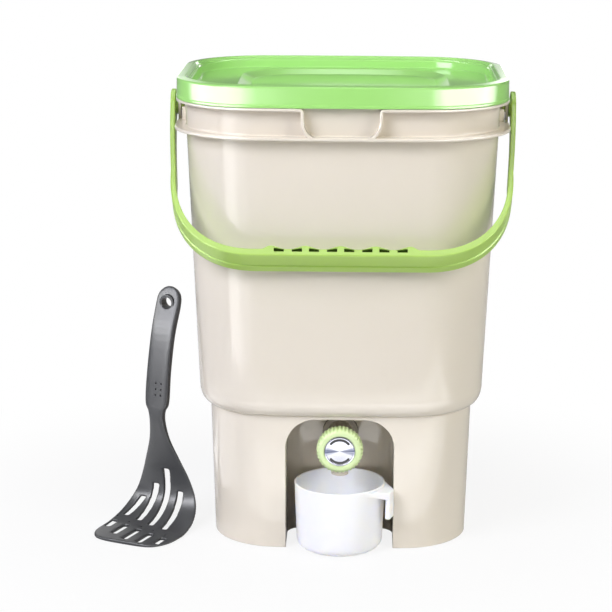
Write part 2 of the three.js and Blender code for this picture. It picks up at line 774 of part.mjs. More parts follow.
function buildKnob() {
  const pointsPerKnurl = 3;
  const count = knurlCount * pointsPerKnurl;
  const ring = (radius, distance, knurled) => {
    const points = [];
    for (let i = 0; i < count; i += 1) {
      const angle = (2 * Math.PI * i) / count;
      const cut = knurled && i % pointsPerKnurl === 0 ? knurlDepth : 0;
      const reach = radius - cut;
      const [x, z] = [reach * Math.cos(angle), tapHeight + reach * Math.sin(angle)];
      points.push(new THREE.Vector3(x, tapY(distance), z));
    }
    return points;
  };
  const skirtInner = knobRadius - knobSkirtWall;
  const body = solid(loft([
    ring(skirtInner, knobWebBack, false),
    ring(skirtInner, knobBack, false),
    ring(knobRadius - knurlDepth, knobBack, false),
    ring(knobRadius, knobBack + knurlDepth, true),
    ring(knobRadius, knobFront - knobEdge, true),
    ring(knobRadius - knobEdge * 0.35, knobFront - knobEdge * 0.3, false),
    ring(knobRadius - knobEdge * 0.9, knobFront, false),
    ring(discRadius + seatGap, knobFront - discInset / 2, false),
    ring(discRadius + seatGap, knobFront - discRecess, false),
    ring(screwHeadRadius + seatGap, knobFront - discRecess, false),
    ring(screwHeadRadius + seatGap, knobFront - screwSeat, false),
  ]));
  const centre = [0, 0, tapHeight];
  const [front, back] = [tapY(knobFront + overrun), tapY(-overrun)];
  const bore = rod('y', plugStemRadius + seatGap, front, back, tapSides, centre);
  return body.subtract(bore);
}

function buildDisc() {
  const front = knobFront - discInset;
  const back = front - discThickness;
  return turned([
    [0, back], [discRadius, back], [discRadius, front - discInset / 2], [discRadius - discInset, front],
    [0, front],
  ], tapSides);
}

function buildScrew() {
  const headBack = knobFront - screwSeat + seatGap;
  const headFront = headBack + screwHeadThickness - seatGap;
  return turned([
    [0, headBack - screwLength], [screwRadius, headBack - screwLength], [screwRadius, headBack],
    [screwHeadRadius, headBack], [screwHeadRadius, headFront], [0, headFront],
  ], 20);
}

function buildCup() {
  const roundSteps = 3;
  const circle = (radius, z) => {
    const points = [];
    for (let i = 0; i < cupSides; i += 1) {
      const angle = (2 * Math.PI * i) / cupSides;
      points.push(new THREE.Vector3(radius * Math.cos(angle), radius * Math.sin(angle), z));
    }
    return points;
  };
  const radiusAt = (z) => blend(cupBaseRadius, cupRadius, z / cupHeight);
  const outer = [];
  const inner = [];
  for (let step = 0; step <= roundSteps; step += 1) {
    const angle = (90 * step * degree) / roundSteps;
    const rise = cupBaseRound * (1 - Math.cos(angle));
    const spread = cupBaseRound * Math.sin(angle);
    outer.push(circle(radiusAt(rise) - cupBaseRound + spread, rise));
    inner.unshift(circle(radiusAt(rise) - cupBaseRound + spread - cupWall, rise + cupWall));
  }
  const rim = [circle(cupRadius, cupHeight), circle(cupRadius - cupWall, cupHeight)];
  const bowl = solid(loft([...outer, ...rim, ...inner]));

  const top = cupHeight - cupHookDrop;
  const wallRadius = radiusAt(top);
  const near = wallRadius + cupHookGap;
  const far = near + cupHookThickness;
  const half = cupHookWidth / 2;
  const bar = block(wallRadius - cupWall / 2, far, -half, half, top - cupHookWall, top);
  const drop = block(near, far, -half, half, top - cupHookLength, top);
  const hook = bar.add(drop);
  const turnedHook = hook.rotate([0, 0, -cupHookTurn]);
  const insideRadius = wallRadius - cupWall;
  const inside = solid(loft([circle(insideRadius, top - overrun), circle(insideRadius, top + overrun)]));
  return bowl.add(turnedHook.subtract(inside));
}

// Masher stations along its middle line: set-back and height as shares of lean and length,
// width and thickness in millimetres
function masherStations() {
  const foot = masherFootLength;
  const blade = masherBladeThickness;
  const floor = blade / 2;
  const handle = masherHandleWidth;
  const thick = masherHandleThickness;
  const on = (leanShare, lengthShare, width, thickness) => (
    [masherLean * leanShare, floor + (masherLength - floor) * lengthShare, width, thickness]);
  return [
    [-foot, floor, masherWidth * 0.39, blade],
    [-foot * 0.98, floor, masherWidth * 0.59, blade],
    [-foot * 0.88, floor, masherWidth * 0.79, blade],
    [-foot * 0.57, floor, masherWidth * 0.96, blade],
    [-foot * 0.16, floor, masherWidth, blade],
    on(0.11, 0.004, masherWidth * 0.995, blade),
    on(0.415, 0.024, masherWidth * 0.955, blade),
    on(0.65, 0.062, masherWidth * 0.875, blade),
    on(0.775, 0.115, masherWidth * 0.755, blade),
    on(0.765, 0.19, masherWidth * 0.605, blade),
    on(0.68, 0.27, masherWidth * 0.44, blade * 1.15),
    on(0.58, 0.36, masherNeckWidth * 1.41, blade * 1.6),
    on(0.513, 0.44, masherNeckWidth, thick * 0.85),
    on(0.497, 0.49, masherNeckWidth * 1.08, thick),
    on(0.513, 0.53, handle * 0.99, thick),
    on(0.59, 0.66, handle, thick),
    on(0.748, 0.81, handle * 1.01, thick * 0.95),
    on(0.94, 0.92, handle * 1.07, thick * 0.85),
    on(1.01, 0.965, handle * 1.03, thick * 0.8),
    on(1.045, 0.99, handle * 0.8, thick * 0.7),
    on(1.065, 1, handle * 0.5, thick * 0.55),
  ];
}

function buildMasher() {
  const stations = masherStations();
  const middle = stations.map(([s, z]) => new THREE.Vector2(s, z));
  const tangentAt = (i) => {
    const before = middle[Math.max(0, i - 1)];
    const after = middle[Math.min(middle.length - 1, i + 1)];
    return after.clone().sub(before).normalize();
  };
  const flatness = 0.55;
  const section = (i) => {
    const [s, z, width, thickness] = stations[i];
    const tangent = tangentAt(i);
    const points = [];
    for (let k = 0; k < masherSectionSides; k += 1) {
      const angle = (2 * Math.PI * k) / masherSectionSides;
      const [cos, sin] = [Math.cos(angle), Math.sin(angle)];
      const across = (width / 2) * Math.sign(cos) * Math.abs(cos) ** flatness;
      const through = (thickness / 2) * Math.sign(sin) * Math.abs(sin) ** flatness;
      points.push(new THREE.Vector3(across, s - through * tangent.y, z + through * tangent.x));
    }
    return points;
  };
  const blank = solid(loft(stations.map((station, i) => section(i)).reverse()));

  // Foot slots sit in a slanting row; each blade slot runs up between two of them
  const slots = [];
  for (let slot = 0; slot < masherFootSlots; slot += 1) {
    const place = slot - (masherFootSlots - 1) / 2;
    const x = place * masherSlotPitch - masherSlotPitch * masherSlotOffsetShare;
    const length = masherFootSlotLength * (1 - masherSlotTaperShare * place * place);
    const bow = masherSlotBow * ((2 * x) / masherWidth) ** 2;
    const centre = bow - masherFootLength * masherSlotSetShare - x * masherSlotSlantShare;
    slots.push(block(x - masherSlotWidth / 2, x + masherSlotWidth / 2,
      centre - length / 2, centre + length / 2, -overrun, overrun / 2));
  }
  const along = (position) => {
    const index = Math.min(Math.floor(position), stations.length - 2);
    const share = position - index;
    const tangent = tangentAt(index).lerp(tangentAt(index + 1), share).normalize();
    return { point: middle[index].clone().lerp(middle[index + 1], share), tangent };
  };
  const reach = masherBladeThickness * 1.8;
  const corners = [[-1, 1], [1, 1], [1, -1], [-1, -1]];
  masherBladeSlotShares.forEach(([lowShare, highShare, first, last]) => {
    const rings = [];
    const steps = 8;
    for (let step = 0; step <= steps; step += 1) {
      const share = step / steps;
      const { point, tangent } = along(blend(first, last, share));
      const x = masherWidth * 0.5 * blend(lowShare, highShare, share);
      rings.push(corners.map(([across, through]) => new THREE.Vector3(
        x + across * masherBladeSlotWidth * 0.5,
        point.x - through * reach * tangent.y,
        point.y + through * reach * tangent.x,
      )));
    }
    slots.push(solid(loft(rings)));
  });
  const holeCentre = [0, 0, masherLength - masherHoleDrop];
  const hole = rod('y', masherHoleRadius, masherLean - overrun, masherLean + overrun, 16, holeCentre);
  return cutAway(blank, [...slots, hole]);
}

const bin = new THREE.Group();
bin.add(mesh('bin_body', buildBody(), 'beige'));
bin.add(mesh('strainer', buildStrainer(), 'greyPlastic'));

const lidGroup = new THREE.Group();
lidGroup.add(mesh('lid', buildLid(), 'green'), mesh('lid_seal', buildLidSeal(), 'rubber'));

const handleGroup = new THREE.Group();
handleGroup.position.z = pivotHeight;
handleGroup.rotation.x = 90 * degree - restLean();
handleGroup.add(mesh('carry_handle', buildHandle(), 'lime'));

const tapGroup = new THREE.Group();
tapGroup.add(
  mesh('tap_body', buildTapBody(), 'greyPlastic'),
  mesh('tap_outer_washer', washer(seatGap), 'rubber'),
  mesh('tap_inner_washer', washer(-innerWasherStart - washerThickness), 'rubber'),
  mesh('tap_lock_nut', buildLockNut(), 'greyPlastic'),
  mesh('tap_plug', buildPlug(), 'white'),
  mesh('plug_seal', buildPlugSeal(), 'rubber'),
  mesh('tap_knob', buildKnob(), 'knobLime'),
  mesh('knob_screw', buildScrew(), 'steel'),
  mesh('tap_disc', buildDisc(), 'bright'),
);

const cupGroup = new THREE.Group();
cupGroup.position.y = cupCentre;
cupGroup.add(mesh('drip_cup', buildCup(), 'white'));

const masherGroup = new THREE.Group();
masherGroup.position.set(masherX, masherY, 0);
masherGroup.rotation.z = -masherTurn * degree;
masherGroup.add(mesh('masher', buildMasher(), 'charcoal'));

const compostBin = new THREE.Group();
compostBin.add(bin, lidGroup, handleGroup, tapGroup, cupGroup, masherGroup);

// The origin is the middle of the base of everything that stands together
compostBin.updateMatrixWorld(true);
const extent = new THREE.Box3().setFromObject(compostBin, true);
const { min, max } = extent;
compostBin.position.set(-(min.x + max.x) / 2, -(min.y + max.y) / 2, -min.z);

export default compostBin;
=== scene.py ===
"""Kitchen compost bin: smooth pieces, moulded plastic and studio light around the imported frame.

Lengths of the pieces are millimetres about the bin's own middle, and become metres in the row frame in build().
Places and sizes of the floor, the lamps and the camera are metres in the row frame.
"""
from math import asin, copysign, cos, exp, pi, radians, sin, tan

import bmesh
import bpy
from mathutils import Matrix, Vector

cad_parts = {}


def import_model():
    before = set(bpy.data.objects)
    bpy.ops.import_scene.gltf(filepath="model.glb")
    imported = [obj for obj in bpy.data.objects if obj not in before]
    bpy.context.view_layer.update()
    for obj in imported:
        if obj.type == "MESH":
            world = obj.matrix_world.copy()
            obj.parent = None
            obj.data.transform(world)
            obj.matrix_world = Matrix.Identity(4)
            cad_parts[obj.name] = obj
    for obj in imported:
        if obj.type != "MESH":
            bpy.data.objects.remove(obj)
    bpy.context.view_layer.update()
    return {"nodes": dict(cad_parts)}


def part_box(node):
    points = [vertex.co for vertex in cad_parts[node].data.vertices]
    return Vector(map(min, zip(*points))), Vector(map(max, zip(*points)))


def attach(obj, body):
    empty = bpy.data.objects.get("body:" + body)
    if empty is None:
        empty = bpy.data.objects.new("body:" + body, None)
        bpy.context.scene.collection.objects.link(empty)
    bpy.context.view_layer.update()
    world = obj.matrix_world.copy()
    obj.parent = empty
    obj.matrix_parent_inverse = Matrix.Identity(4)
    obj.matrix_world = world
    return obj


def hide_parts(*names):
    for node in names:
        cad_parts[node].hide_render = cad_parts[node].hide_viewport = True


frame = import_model()

MM = 0.001
LOW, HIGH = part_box("bin_body")
MIDDLE = Vector(((LOW.x + HIGH.x) / 2, (LOW.y + HIGH.y) / 2, 0))

# Play between fitted pieces
GAP = 0.3

# How far cutters run past what they cut
OVERRUN = 20
FAR_FRONT = -200

# Plan of the bin
SHORTFALL = 32
BOW = 7.1
CORNER_STEPS = 18
BOW_STEPS = 24
SIDE_STEPS = 8

# Bucket
WALL = 2.5
FOOT_HALF = 119
FOOT_CORNER = 55.5
STEP_Z = 129
STEP_HALF = 122.5
STEP_BEAD = 0.8
SHOULDER_Z = 148
SHOULDER_OVERHANG = 10
SHOULDER_HALF = STEP_HALF + SHOULDER_OVERHANG
SHOULDER_CORNER = 62
SHOULDER_STEPS = 14
MOUTH_Z = 430
MOUTH_HALF = 144
MOUTH_CORNER = 67
RIB_Z = 387
RIB_TOP = RIB_Z + 3
FLANGE_Z = 412.6
FLANGE_TOP = FLANGE_Z + 2.5
FLANGE_HALF = 151.3
COLLAR_HALF = 152.8
COLLAR_CORNER = 74
FLOOR_Z = 72
FLOOR_EDGE = 6
LEDGE_Z = 138
LEDGE_WIDTH = 6.5

# Thumb notch and ears
NOTCH_GAP = 36.6
NOTCH_HALF = 34.4
NOTCH_BEND = 2.2
NOTCH_FOOT = 22
NOTCH_RIB = 1.25
PIVOT_Z = 401.5
EAR_HALF = 17
EAR_SETBACK = 7
EAR_PLATE = 2.5
EAR_WEB_INSET = 4.2
EAR_ROUND = 0.5
PIN_RADIUS = 4.7

# Alcove, cup and tap
ALCOVE_HALF = 49.8
ALCOVE_CROWN = 125
ALCOVE_ARCH = 27.5
ALCOVE_BACK = -36.1
ALCOVE_ROUND = 15
ALCOVE_EDGE = 1.7
ALCOVE_FLARE = radians(38)
TAP_Z = 96
TAP_CENTRE = (0, 0, TAP_Z)
STEM_RADIUS = 10
STEM_HOLE = STEM_RADIUS + GAP
CUP_Y = -84

# Mesh building
WELD = 1e-4
FLAT_ANGLE = radians(176)
FILLET_LIMIT = 0.48


def evenly(start, end, steps):
    return [start + (end - start) * i / steps for i in range(steps + 1)]


def mix(a, b, share):
    return a + (b - a) * share


def arc(start, end, steps):
    """Cosine and sine at even steps between two angles in degrees."""
    angles = [radians(a) for a in evenly(start, end, steps)]
    return [(cos(a), sin(a)) for a in angles]


def turns(sides):
    """Angle, cosine and sine of even steps round a circle."""
    angles = [2 * pi * i / sides for i in range(sides)]
    return [(a, cos(a), sin(a)) for a in angles]


def front(half, x):
    """Y of the front, at x, of the plan with this half width."""
    return -(half - SHORTFALL + BOW * (1 - (x / half) ** 2))


def plan(half, corner, shortfall=SHORTFALL):
    """The bin's outline at one level, from the front right corner round to the left."""
    depth = half - shortfall
    radius = min(corner, depth * 0.98)
    points = []
    corners = ((1, -1, -90), (1, 1, 0), (-1, 1, 90), (-1, -1, 180))
    for index, (side_x, side_y, start) in enumerate(corners):
        cx, cy = side_x * (half - radius), side_y * (depth - radius)
        points += [(cx + radius * c, cy + radius * s) for c, s in arc(start, start + 90, CORNER_STEPS)]
        along_x = index % 2 == 1
        steps = BOW_STEPS if along_x else SIDE_STEPS
        for step in range(1, steps + 1):
            share = 1 - 2 * step / (steps + 1)
            points.append((cx * share, side_y * depth) if along_x else (side_x * half, cy * share))
    result = []
    for x, y in points:
        reach = min(1, abs(y) / depth)
        result.append((x, y + copysign(BOW, y) * (1 - (x / half) ** 2) * reach))
    return result


def filleted(profile, steps=4):
    """Rounds the corners of a row of (half width, corner, level, radius); the last value is the round."""
    rows = []
    last = len(profile) - 1
    for i, (half, corner, z, radius) in enumerate(profile):
        here = Vector((half, z))
        if radius == 0 or i in (0, last):
            rows.append((half, corner, z))
            continue
        before, after = profile[i - 1], profile[i + 1]
        to_a, to_b = Vector((before[0], before[2])) - here, Vector((after[0], after[2])) - here
        len_a, len_b = to_a.length, to_b.length
        to_a.normalize()
        to_b.normalize()
        angle = to_a.angle(to_b)
        if angle > FLAT_ANGLE:
            rows.append((half, corner, z))
            continue
        reach = min(radius / tan(angle / 2), len_a * FILLET_LIMIT, len_b * FILLET_LIMIT)
        for share in evenly(0, 1, steps):
            wa, wb = (1 - share) ** 2 * reach / len_a, share**2 * reach / len_b
            rows.append(tuple(
                value + wa * (before[k] - value) + wb * (after[k] - value)
                for k, value in enumerate((half, corner, z))
            ))
    return rows


def levels(profile, steps=4):
    """The bin's outline at each level of a profile whose corners are rounded."""
    return [[(x, y, z) for x, y in plan(half, corner)] for half, corner, z in filleted(profile, steps)]


def placed(name, data):
    """An object in the scene that holds this data."""
    obj = bpy.data.objects.new(name, data)
    bpy.context.scene.collection.objects.link(obj)
    return obj


def raw(name, verts, faces):
    """A closed mesh object in millimetres, with its faces turned outwards."""
    mesh = bpy.data.meshes.new(name)
    mesh.from_pydata(verts, [], faces)
    bm = bmesh.new()
    bm.from_mesh(mesh)
    bmesh.ops.remove_doubles(bm, verts=bm.verts, dist=WELD)
    bmesh.ops.dissolve_degenerate(bm, edges=bm.edges, dist=WELD)
    bmesh.ops.recalc_face_normals(bm, faces=bm.faces)
    bm.to_mesh(mesh)
    bm.free()
    return placed(name, mesh)


def lofted(name, rings, closed=False):
    """Joins rings of equal length; unless closed, a fan of faces caps each end."""
    count = len(rings[0])
    verts = [p for ring in rings for p in ring]
    faces = []
    for row in range(len(rings) if closed else len(rings) - 1):
        low, high = row * count, ((row + 1) % len(rings)) * count
        for i in range(count):
            j = (i + 1) % count
            faces.append((low + i, low + j, high + j, high + i))
    if not closed:
        for row, flip in ((0, True), (len(rings) - 1, False)):
            verts.append(tuple(sum(p[k] for p in rings[row]) / count for k in range(3)))
            hub = len(verts) - 1
            for i in range(count):
                a, b = row * count + i, row * count + (i + 1) % count
                faces.append((hub, b, a) if flip else (hub, a, b))
    return raw(name, verts, faces)


def drawn(name, outline, ends):
    """An outline drawn through between two heights."""
    return lofted(name, [[(x, y, z) for x, y in outline] for z in ends])


def applied(obj, kind, **settings):
    """Adds a modifier and applies it."""
    modifier = obj.modifiers.new(kind, kind)
    for key, value in settings.items():
        setattr(modifier, key, value)
    graph = bpy.context.evaluated_depsgraph_get()
    mesh = bpy.data.meshes.new_from_object(obj.evaluated_get(graph))
    obj.modifiers.clear()
    old = obj.data
    obj.data = mesh
    bpy.data.meshes.remove(old)


def cut(obj, *others, operation="DIFFERENCE"):
    """Takes the others out of the object, or with fuse() adds them, and removes them."""
    for other in others:
        applied(obj, "BOOLEAN", operation=operation, solver="MANIFOLD", object=other)
        bpy.data.objects.remove(other, do_unlink=True)


def fuse(obj, *others):
    cut(obj, *others, operation="UNION")


def box(name, x0, x1, y0, y1, z0, z1, bevel=0, segments=3):
    corners = [(x, y, z) for x in (x0, x1) for y in (y0, y1) for z in (z0, z1)]
    faces = [(0, 1, 3, 2), (4, 6, 7, 5), (0, 4, 5, 1), (2, 3, 7, 6), (0, 2, 6, 4), (1, 5, 7, 3)]
    obj = raw(name, corners, faces)
    if bevel:
        applied(obj, "BEVEL", width=bevel, segments=segments, limit_method="NONE")
    return obj


def lathe(name, profile, axis, centre=(0, 0, 0), sides=72, fillet=0, closed=False):
    """Turns a row of (radius, distance) about X, Y or Z; a plain round softens its corners."""
    rows = [(r, 0, d, fillet) for r, d in profile]
    if closed:
        rows += rows[:1]
    points = filleted(rows, 3)
    if closed:
        points = points[:-1]
    rings = []
    for radius, _, distance in points:
        radius = max(radius, 1e-5)
        ring = []
        for _, c, s in turns(sides):
            u, v = radius * c, radius * s
            place = {"x": (distance, u, v), "y": (u, distance, v), "z": (u, v, distance)}[axis]
            ring.append(tuple(place[k] + centre[k] for k in range(3)))
        rings.append(ring)
    return lofted(name, rings, closed)


def rod(name, radius, start, end, axis, centre=(0, 0, 0), sides=72, fillet=0):
    """A round bar between two distances, for pins, bosses, bores and holes."""
    return lathe(name, [(0, start), (radius, start), (radius, end), (0, end)], axis, centre, sides, fillet)


def joined(name, objects):
    """Puts several objects' meshes in one object."""
    bm = bmesh.new()
    for obj in objects:
        bm.from_mesh(obj.data)
        bpy.data.objects.remove(obj, do_unlink=True)
    mesh = bpy.data.meshes.new(name)
    bm.to_mesh(mesh)
    bm.free()
    return placed(name, mesh)


def build(obj, name, body, material, nodes=(), crease=32, weighted=True):
    """Places a finished piece in the row frame, in metres, and hands it to the frame."""
    obj.name = name
    obj.data.name = name
    obj.data.transform(Matrix.Translation(MIDDLE) @ Matrix.Scale(MM, 4))
    obj.data.materials.clear()
    obj.data.materials.append(material)
    obj.data.shade_smooth()
    obj.data.set_sharp_from_angle(angle=radians(crease))
    if weighted:
        applied(obj, "WEIGHTED_NORMAL", keep_sharp=True, weight=60)
    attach(obj, body)
    if nodes:
        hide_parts(*nodes)


# Materials

class Tree:
    """An owner's shader nodes in short form: each input takes a value, or another node's output to link."""

    def __init__(self, owner):
        owner.use_nodes = True
        self.nodes, self.links = owner.node_tree.nodes, owner.node_tree.links

    def fill(self, node, values):
        for key, value in values.items():
            if isinstance(value, bpy.types.NodeSocket):
                self.links.new(value, node.inputs[key])
            else:
                node.inputs[key].default_value = value

    def add(self, kind, values, **settings):
        """A new node with its settings and inputs; returns its outputs."""
        node = self.nodes.new("ShaderNode" + kind)
        for key, value in settings.items():
            setattr(node, key, value)
        self.fill(node, values)
        return node.outputs

    def object_place(self):
        return self.add("TexCoord", {})["Object"]

    def math(self, operation, *values):
        return self.add("Math", dict(enumerate(values)), operation=operation)["Value"]

    def ramp(self, value, ends, kind="LINEAR", start=0, end=1):
        """Maps a value from start and end to the two ends."""
        low, high = ends
        span = {"Value": value, "From Min": start, "From Max": end, "To Min": low, "To Max": high}
        return self.add("MapRange", span, interpolation_type=kind)["Result"]

    def tint(self, share, base, shade):
        colours = {"Factor": share, "A": colour(*base), "B": colour(*shade)}
        return self.add("Mix", colours, data_type="RGBA")["Result"]

    def blend(self, share, first, second):
        return self.add("MixShader", {"Fac": share, 1: first, 2: second})["Shader"]


def colour(*levels):
    """A colour given as sRGB levels up to 255, in linear light."""
    shares = [v / 255 for v in levels]
    return (*(c / 12.92 if c <= 0.04045 else ((c + 0.055) / 1.055) ** 2.4 for c in shares), 1)


def plastic(name, base, shade, roughness, patch, sheen=0.05, grain=1400, depth=0.00002,
            subsurface=0, specular=0.5, metallic=0):
    """Moulded plastic: slow drift of colour, polished patches and a fine moulded grain."""
    material = bpy.data.materials.new(name)
    tree = Tree(material)
    place = tree.object_place()
    drift = tree.add("TexNoise", {"Vector": place, "Scale": patch, "Detail": 3})["Fac"]
    fine = tree.add("TexNoise", {"Vector": place, "Scale": grain, "Detail": 2})["Fac"]
    polish = (roughness - sheen, roughness + sheen)
    tree.fill(tree.nodes["Principled BSDF"], {
        "Base Color": tree.tint(drift, base, shade),
        "Roughness": tree.ramp(drift, polish, "SMOOTHSTEP", 0.1, 0.9),
        "Normal": tree.add("Bump", {"Height": fine, "Strength": 0.6, "Distance": depth})["Normal"],
        "IOR": 1.5,
        "Metallic": metallic,
        "Specular IOR Level": specular,
        "Subsurface Weight": subsurface,
        "Subsurface Radius": (1, 0.9, 0.7),
        "Subsurface Scale": 0.004,
    })
    return material


def spun_metal(name, centre, light, dark):
    """Bright metal turned on a lathe: fine rings, and a painted reflection: dark streaks, broken up by noise, that
    fan out to both sides.
    """
    material = bpy.data.materials.new(name)
    tree = Tree(material)
    shift = tree.add("VectorMath", {0: tree.object_place(), 1: centre}, operation="SUBTRACT")["Vector"]
    split = tree.add("SeparateXYZ", {"Vector": shift})
    angle = tree.math("ARCTAN2", split["Z"], split["X"])
    fan = tree.add("TexNoise", {"W": angle, "Scale": 7, "Detail": 4}, noise_dimensions="1D")["Fac"]
    sides = tree.math("COSINE", tree.math("MULTIPLY", angle, 2))
    # Painted reflection: the base colour darkens in noisy streaks towards both sides of the disc
    painted_reflection = tree.math("MULTIPLY", tree.ramp(sides, (0, 1.5), start=0.72), fan)
    length = tree.add("VectorMath", {0: shift}, operation="LENGTH")["Value"]
    rings = tree.add("TexNoise", {"W": length, "Scale": 9000}, noise_dimensions="1D")["Fac"]
    tree.fill(tree.nodes["Principled BSDF"], {
        "Base Color": tree.tint(painted_reflection, light, dark),
        "Roughness": tree.ramp(fan, (0.16, 0.3)),
        "Normal": tree.add("Bump", {"Height": rings, "Strength": 0.35, "Distance": 0.00001})["Normal"],
        "Metallic": 1,
    })
    return material


BEIGE = plastic("beige_moulded", (225, 217, 203), (220, 211, 196), roughness=0.09, patch=5, sheen=0.02,
                depth=0.000008, subsurface=0.06)
GREEN = plastic("green_moulded", (163, 221, 125), (157, 217, 117), roughness=0.11, patch=8, sheen=0.03,
                depth=0.000008, subsurface=0.05)
LIME = plastic("lime_moulded", (163, 200, 84), (157, 193, 78), roughness=0.32, patch=14, subsurface=0.05)
KNOB_LIME = plastic("knob_moulded", (214, 232, 176), (204, 226, 162), roughness=0.36, patch=40, subsurface=0.05)
WHITE = plastic("white_moulded", (242, 242, 244), (239, 239, 242), roughness=0.34, patch=22, subsurface=1)
CHARCOAL = plastic("charcoal_nylon", (58, 59, 61), (51, 52, 54), roughness=0.38, patch=30, grain=900,
                   depth=0.00005)
RUBBER = plastic("rubber_black", (38, 38, 40), (31, 31, 33), roughness=0.75, patch=60, grain=1800)
GREY = plastic("grey_moulded", (214, 214, 210), (206, 206, 202), roughness=0.42, patch=26)
HOUSING = plastic("housing_moulded", (176, 168, 154), (168, 160, 146), roughness=0.5, patch=40)
# Painted shade: a dark colour for the pieces set deep in the handle's pockets, where there is only shade
POCKET_SHADE = plastic("pocket_painted_shade", (44, 62, 18), (38, 54, 14), roughness=0.7, patch=60, specular=0)
INK = plastic("disc_ink", (24, 25, 28), (18, 19, 22), roughness=0.35, patch=90)
STEEL = plastic("screw_steel", (180, 184, 190), (168, 172, 178), roughness=0.3, patch=200, metallic=1)


# Bucket

def skirt_half(z):
    return mix(FOOT_HALF, STEP_HALF, z / STEP_Z)


def upper(z, inset=0, radius=0):
    share = (z - SHOULDER_Z) / (MOUTH_Z - SHOULDER_Z)
    return (mix(SHOULDER_HALF, MOUTH_HALF, share) - inset, mix(SHOULDER_CORNER, MOUTH_CORNER, share) - inset,
            z, radius)


def skirt_inner(z, radius=0, inset=WALL):
    return (skirt_half(z) - inset, FOOT_CORNER - inset, z, radius)


def outer_profile():
    """The skirt with the bead at its top, and the rounded shoulder over it."""
    rows = [
        (FOOT_HALF, FOOT_CORNER, 0, 0.8),
        (STEP_HALF, FOOT_CORNER, STEP_Z - 2 * STEP_BEAD, 0.5),
        (STEP_HALF + STEP_BEAD, FOOT_CORNER, STEP_Z - STEP_BEAD, 0.6),
        (STEP_HALF, FOOT_CORNER, STEP_Z, 0.3),
    ]
    for step in range(1, SHOULDER_STEPS + 1):
        a = pi / 2 * step / SHOULDER_STEPS
        corner = mix(FOOT_CORNER, SHOULDER_CORNER, step / SHOULDER_STEPS)
        z = STEP_Z + (SHOULDER_Z - STEP_Z) * (1 - cos(a))
        rows.append((STEP_HALF + SHOULDER_OVERHANG * sin(a), corner, z, 0))
    return rows


def front_skin(x, z):
    return front(skirt_half(z), x)


def arch(half, crown, radius, bottom):
    """The alcove's outline in X and Z, seen from the front."""
    left = [(-half, z) for z in evenly(bottom, crown - radius, 8)]
    left += [(-half + radius + radius * c, crown - radius + radius * s) for c, s in arc(180, 90, 14)[1:]]
    top = [(x, crown) for x in evenly(-half + radius, half - radius, 8)[1:-1]]
    return left + top + [(-x, z) for x, z in reversed(left)]


def alcove(name, grow, bottom, edge_round):
    """The alcove's inner space, or with grow its walls' outside; edge_round flares its mouth."""
    back = ALCOVE_BACK + grow
    rings = []

    def outline(offset):
        return arch(ALCOVE_HALF + offset, ALCOVE_CROWN + offset, ALCOVE_ARCH + offset, bottom)

    if edge_round:
        start = edge_round * (1 - sin(ALCOVE_FLARE))
        rings.append([(x, FAR_FRONT, z) for x, z in outline(start)])
        for a in evenly(ALCOVE_FLARE, pi / 2, 5):
            grown, depth = edge_round * (1 - sin(a)), edge_round * (1 - cos(a))
            rings.append([(x, front_skin(x, z) + depth, z) for x, z in outline(grown)])
    else:
        rings.append([(x, front_skin(x, z) + WALL / 2, z) for x, z in outline(grow)])
    radius = ALCOVE_ROUND + grow
    last = pi / 2 * 0.97
    for a in evenly(0, last, 9):
        y = back - radius + radius * sin(a)
        rings.append([(x, y, z) for x, z in outline(grow - radius * (1 - cos(a)))])
    inset = radius * (1 - cos(last))
    rings.append([(x, back, z) for x, z in outline(grow - inset - 0.2)])
    return lofted(name, rings)


def notch_path():
    """Middle line of the right rib beside the thumb notch, in X and Z, from the flange down."""
    top = FLANGE_Z + NOTCH_RIB
    bend_x = NOTCH_HALF + NOTCH_BEND
    points = [(bend_x + 3, top), (bend_x, top)]
    for c, s in arc(90, 180, 6)[1:]:
        points.append((bend_x + NOTCH_BEND * c, top - NOTCH_BEND + NOTCH_BEND * s))
    straight = mix(FLANGE_TOP, RIB_TOP, 0.42)
    end_z = RIB_TOP - 1.5
    for share in evenly(0, 1, 14):
        turn = share * pi / 2
        points.append((mix(NOTCH_HALF, NOTCH_FOOT, 1 - cos(turn)), mix(straight, end_z, sin(turn))))
    points.append((points[-1][0] - 3, end_z - 0.2))
    return points


def ribbon(name, path, half_thickness, front_of, back_of, side, radius=0.9):
    """A thin upright rib swept along a path in X and Z, with its front edges rounded."""
    rings = []
    for i, (x, z) in enumerate(path):
        before, after = path[max(0, i - 1)], path[min(len(path) - 1, i + 1)]
        tangent = Vector((after[0] - before[0], after[1] - before[1])).normalized()
        normal = Vector((-tangent.y, tangent.x))
        face, back = front_of(x, z), back_of(x, z)
        section = [(-half_thickness, back)]
        section += [(-half_thickness + radius * (1 - c), face + radius * (1 - s)) for c, s in arc(0, 90, 4)]
        section += [(half_thickness - radius * (1 - c), face + radius * (1 - s)) for c, s in arc(90, 0, 4)]
        section.append((half_thickness, back))
        rings.append([(side * (x + normal.x * o), y, z + normal.y * o) for o, y in section])
    return lofted(name, rings)


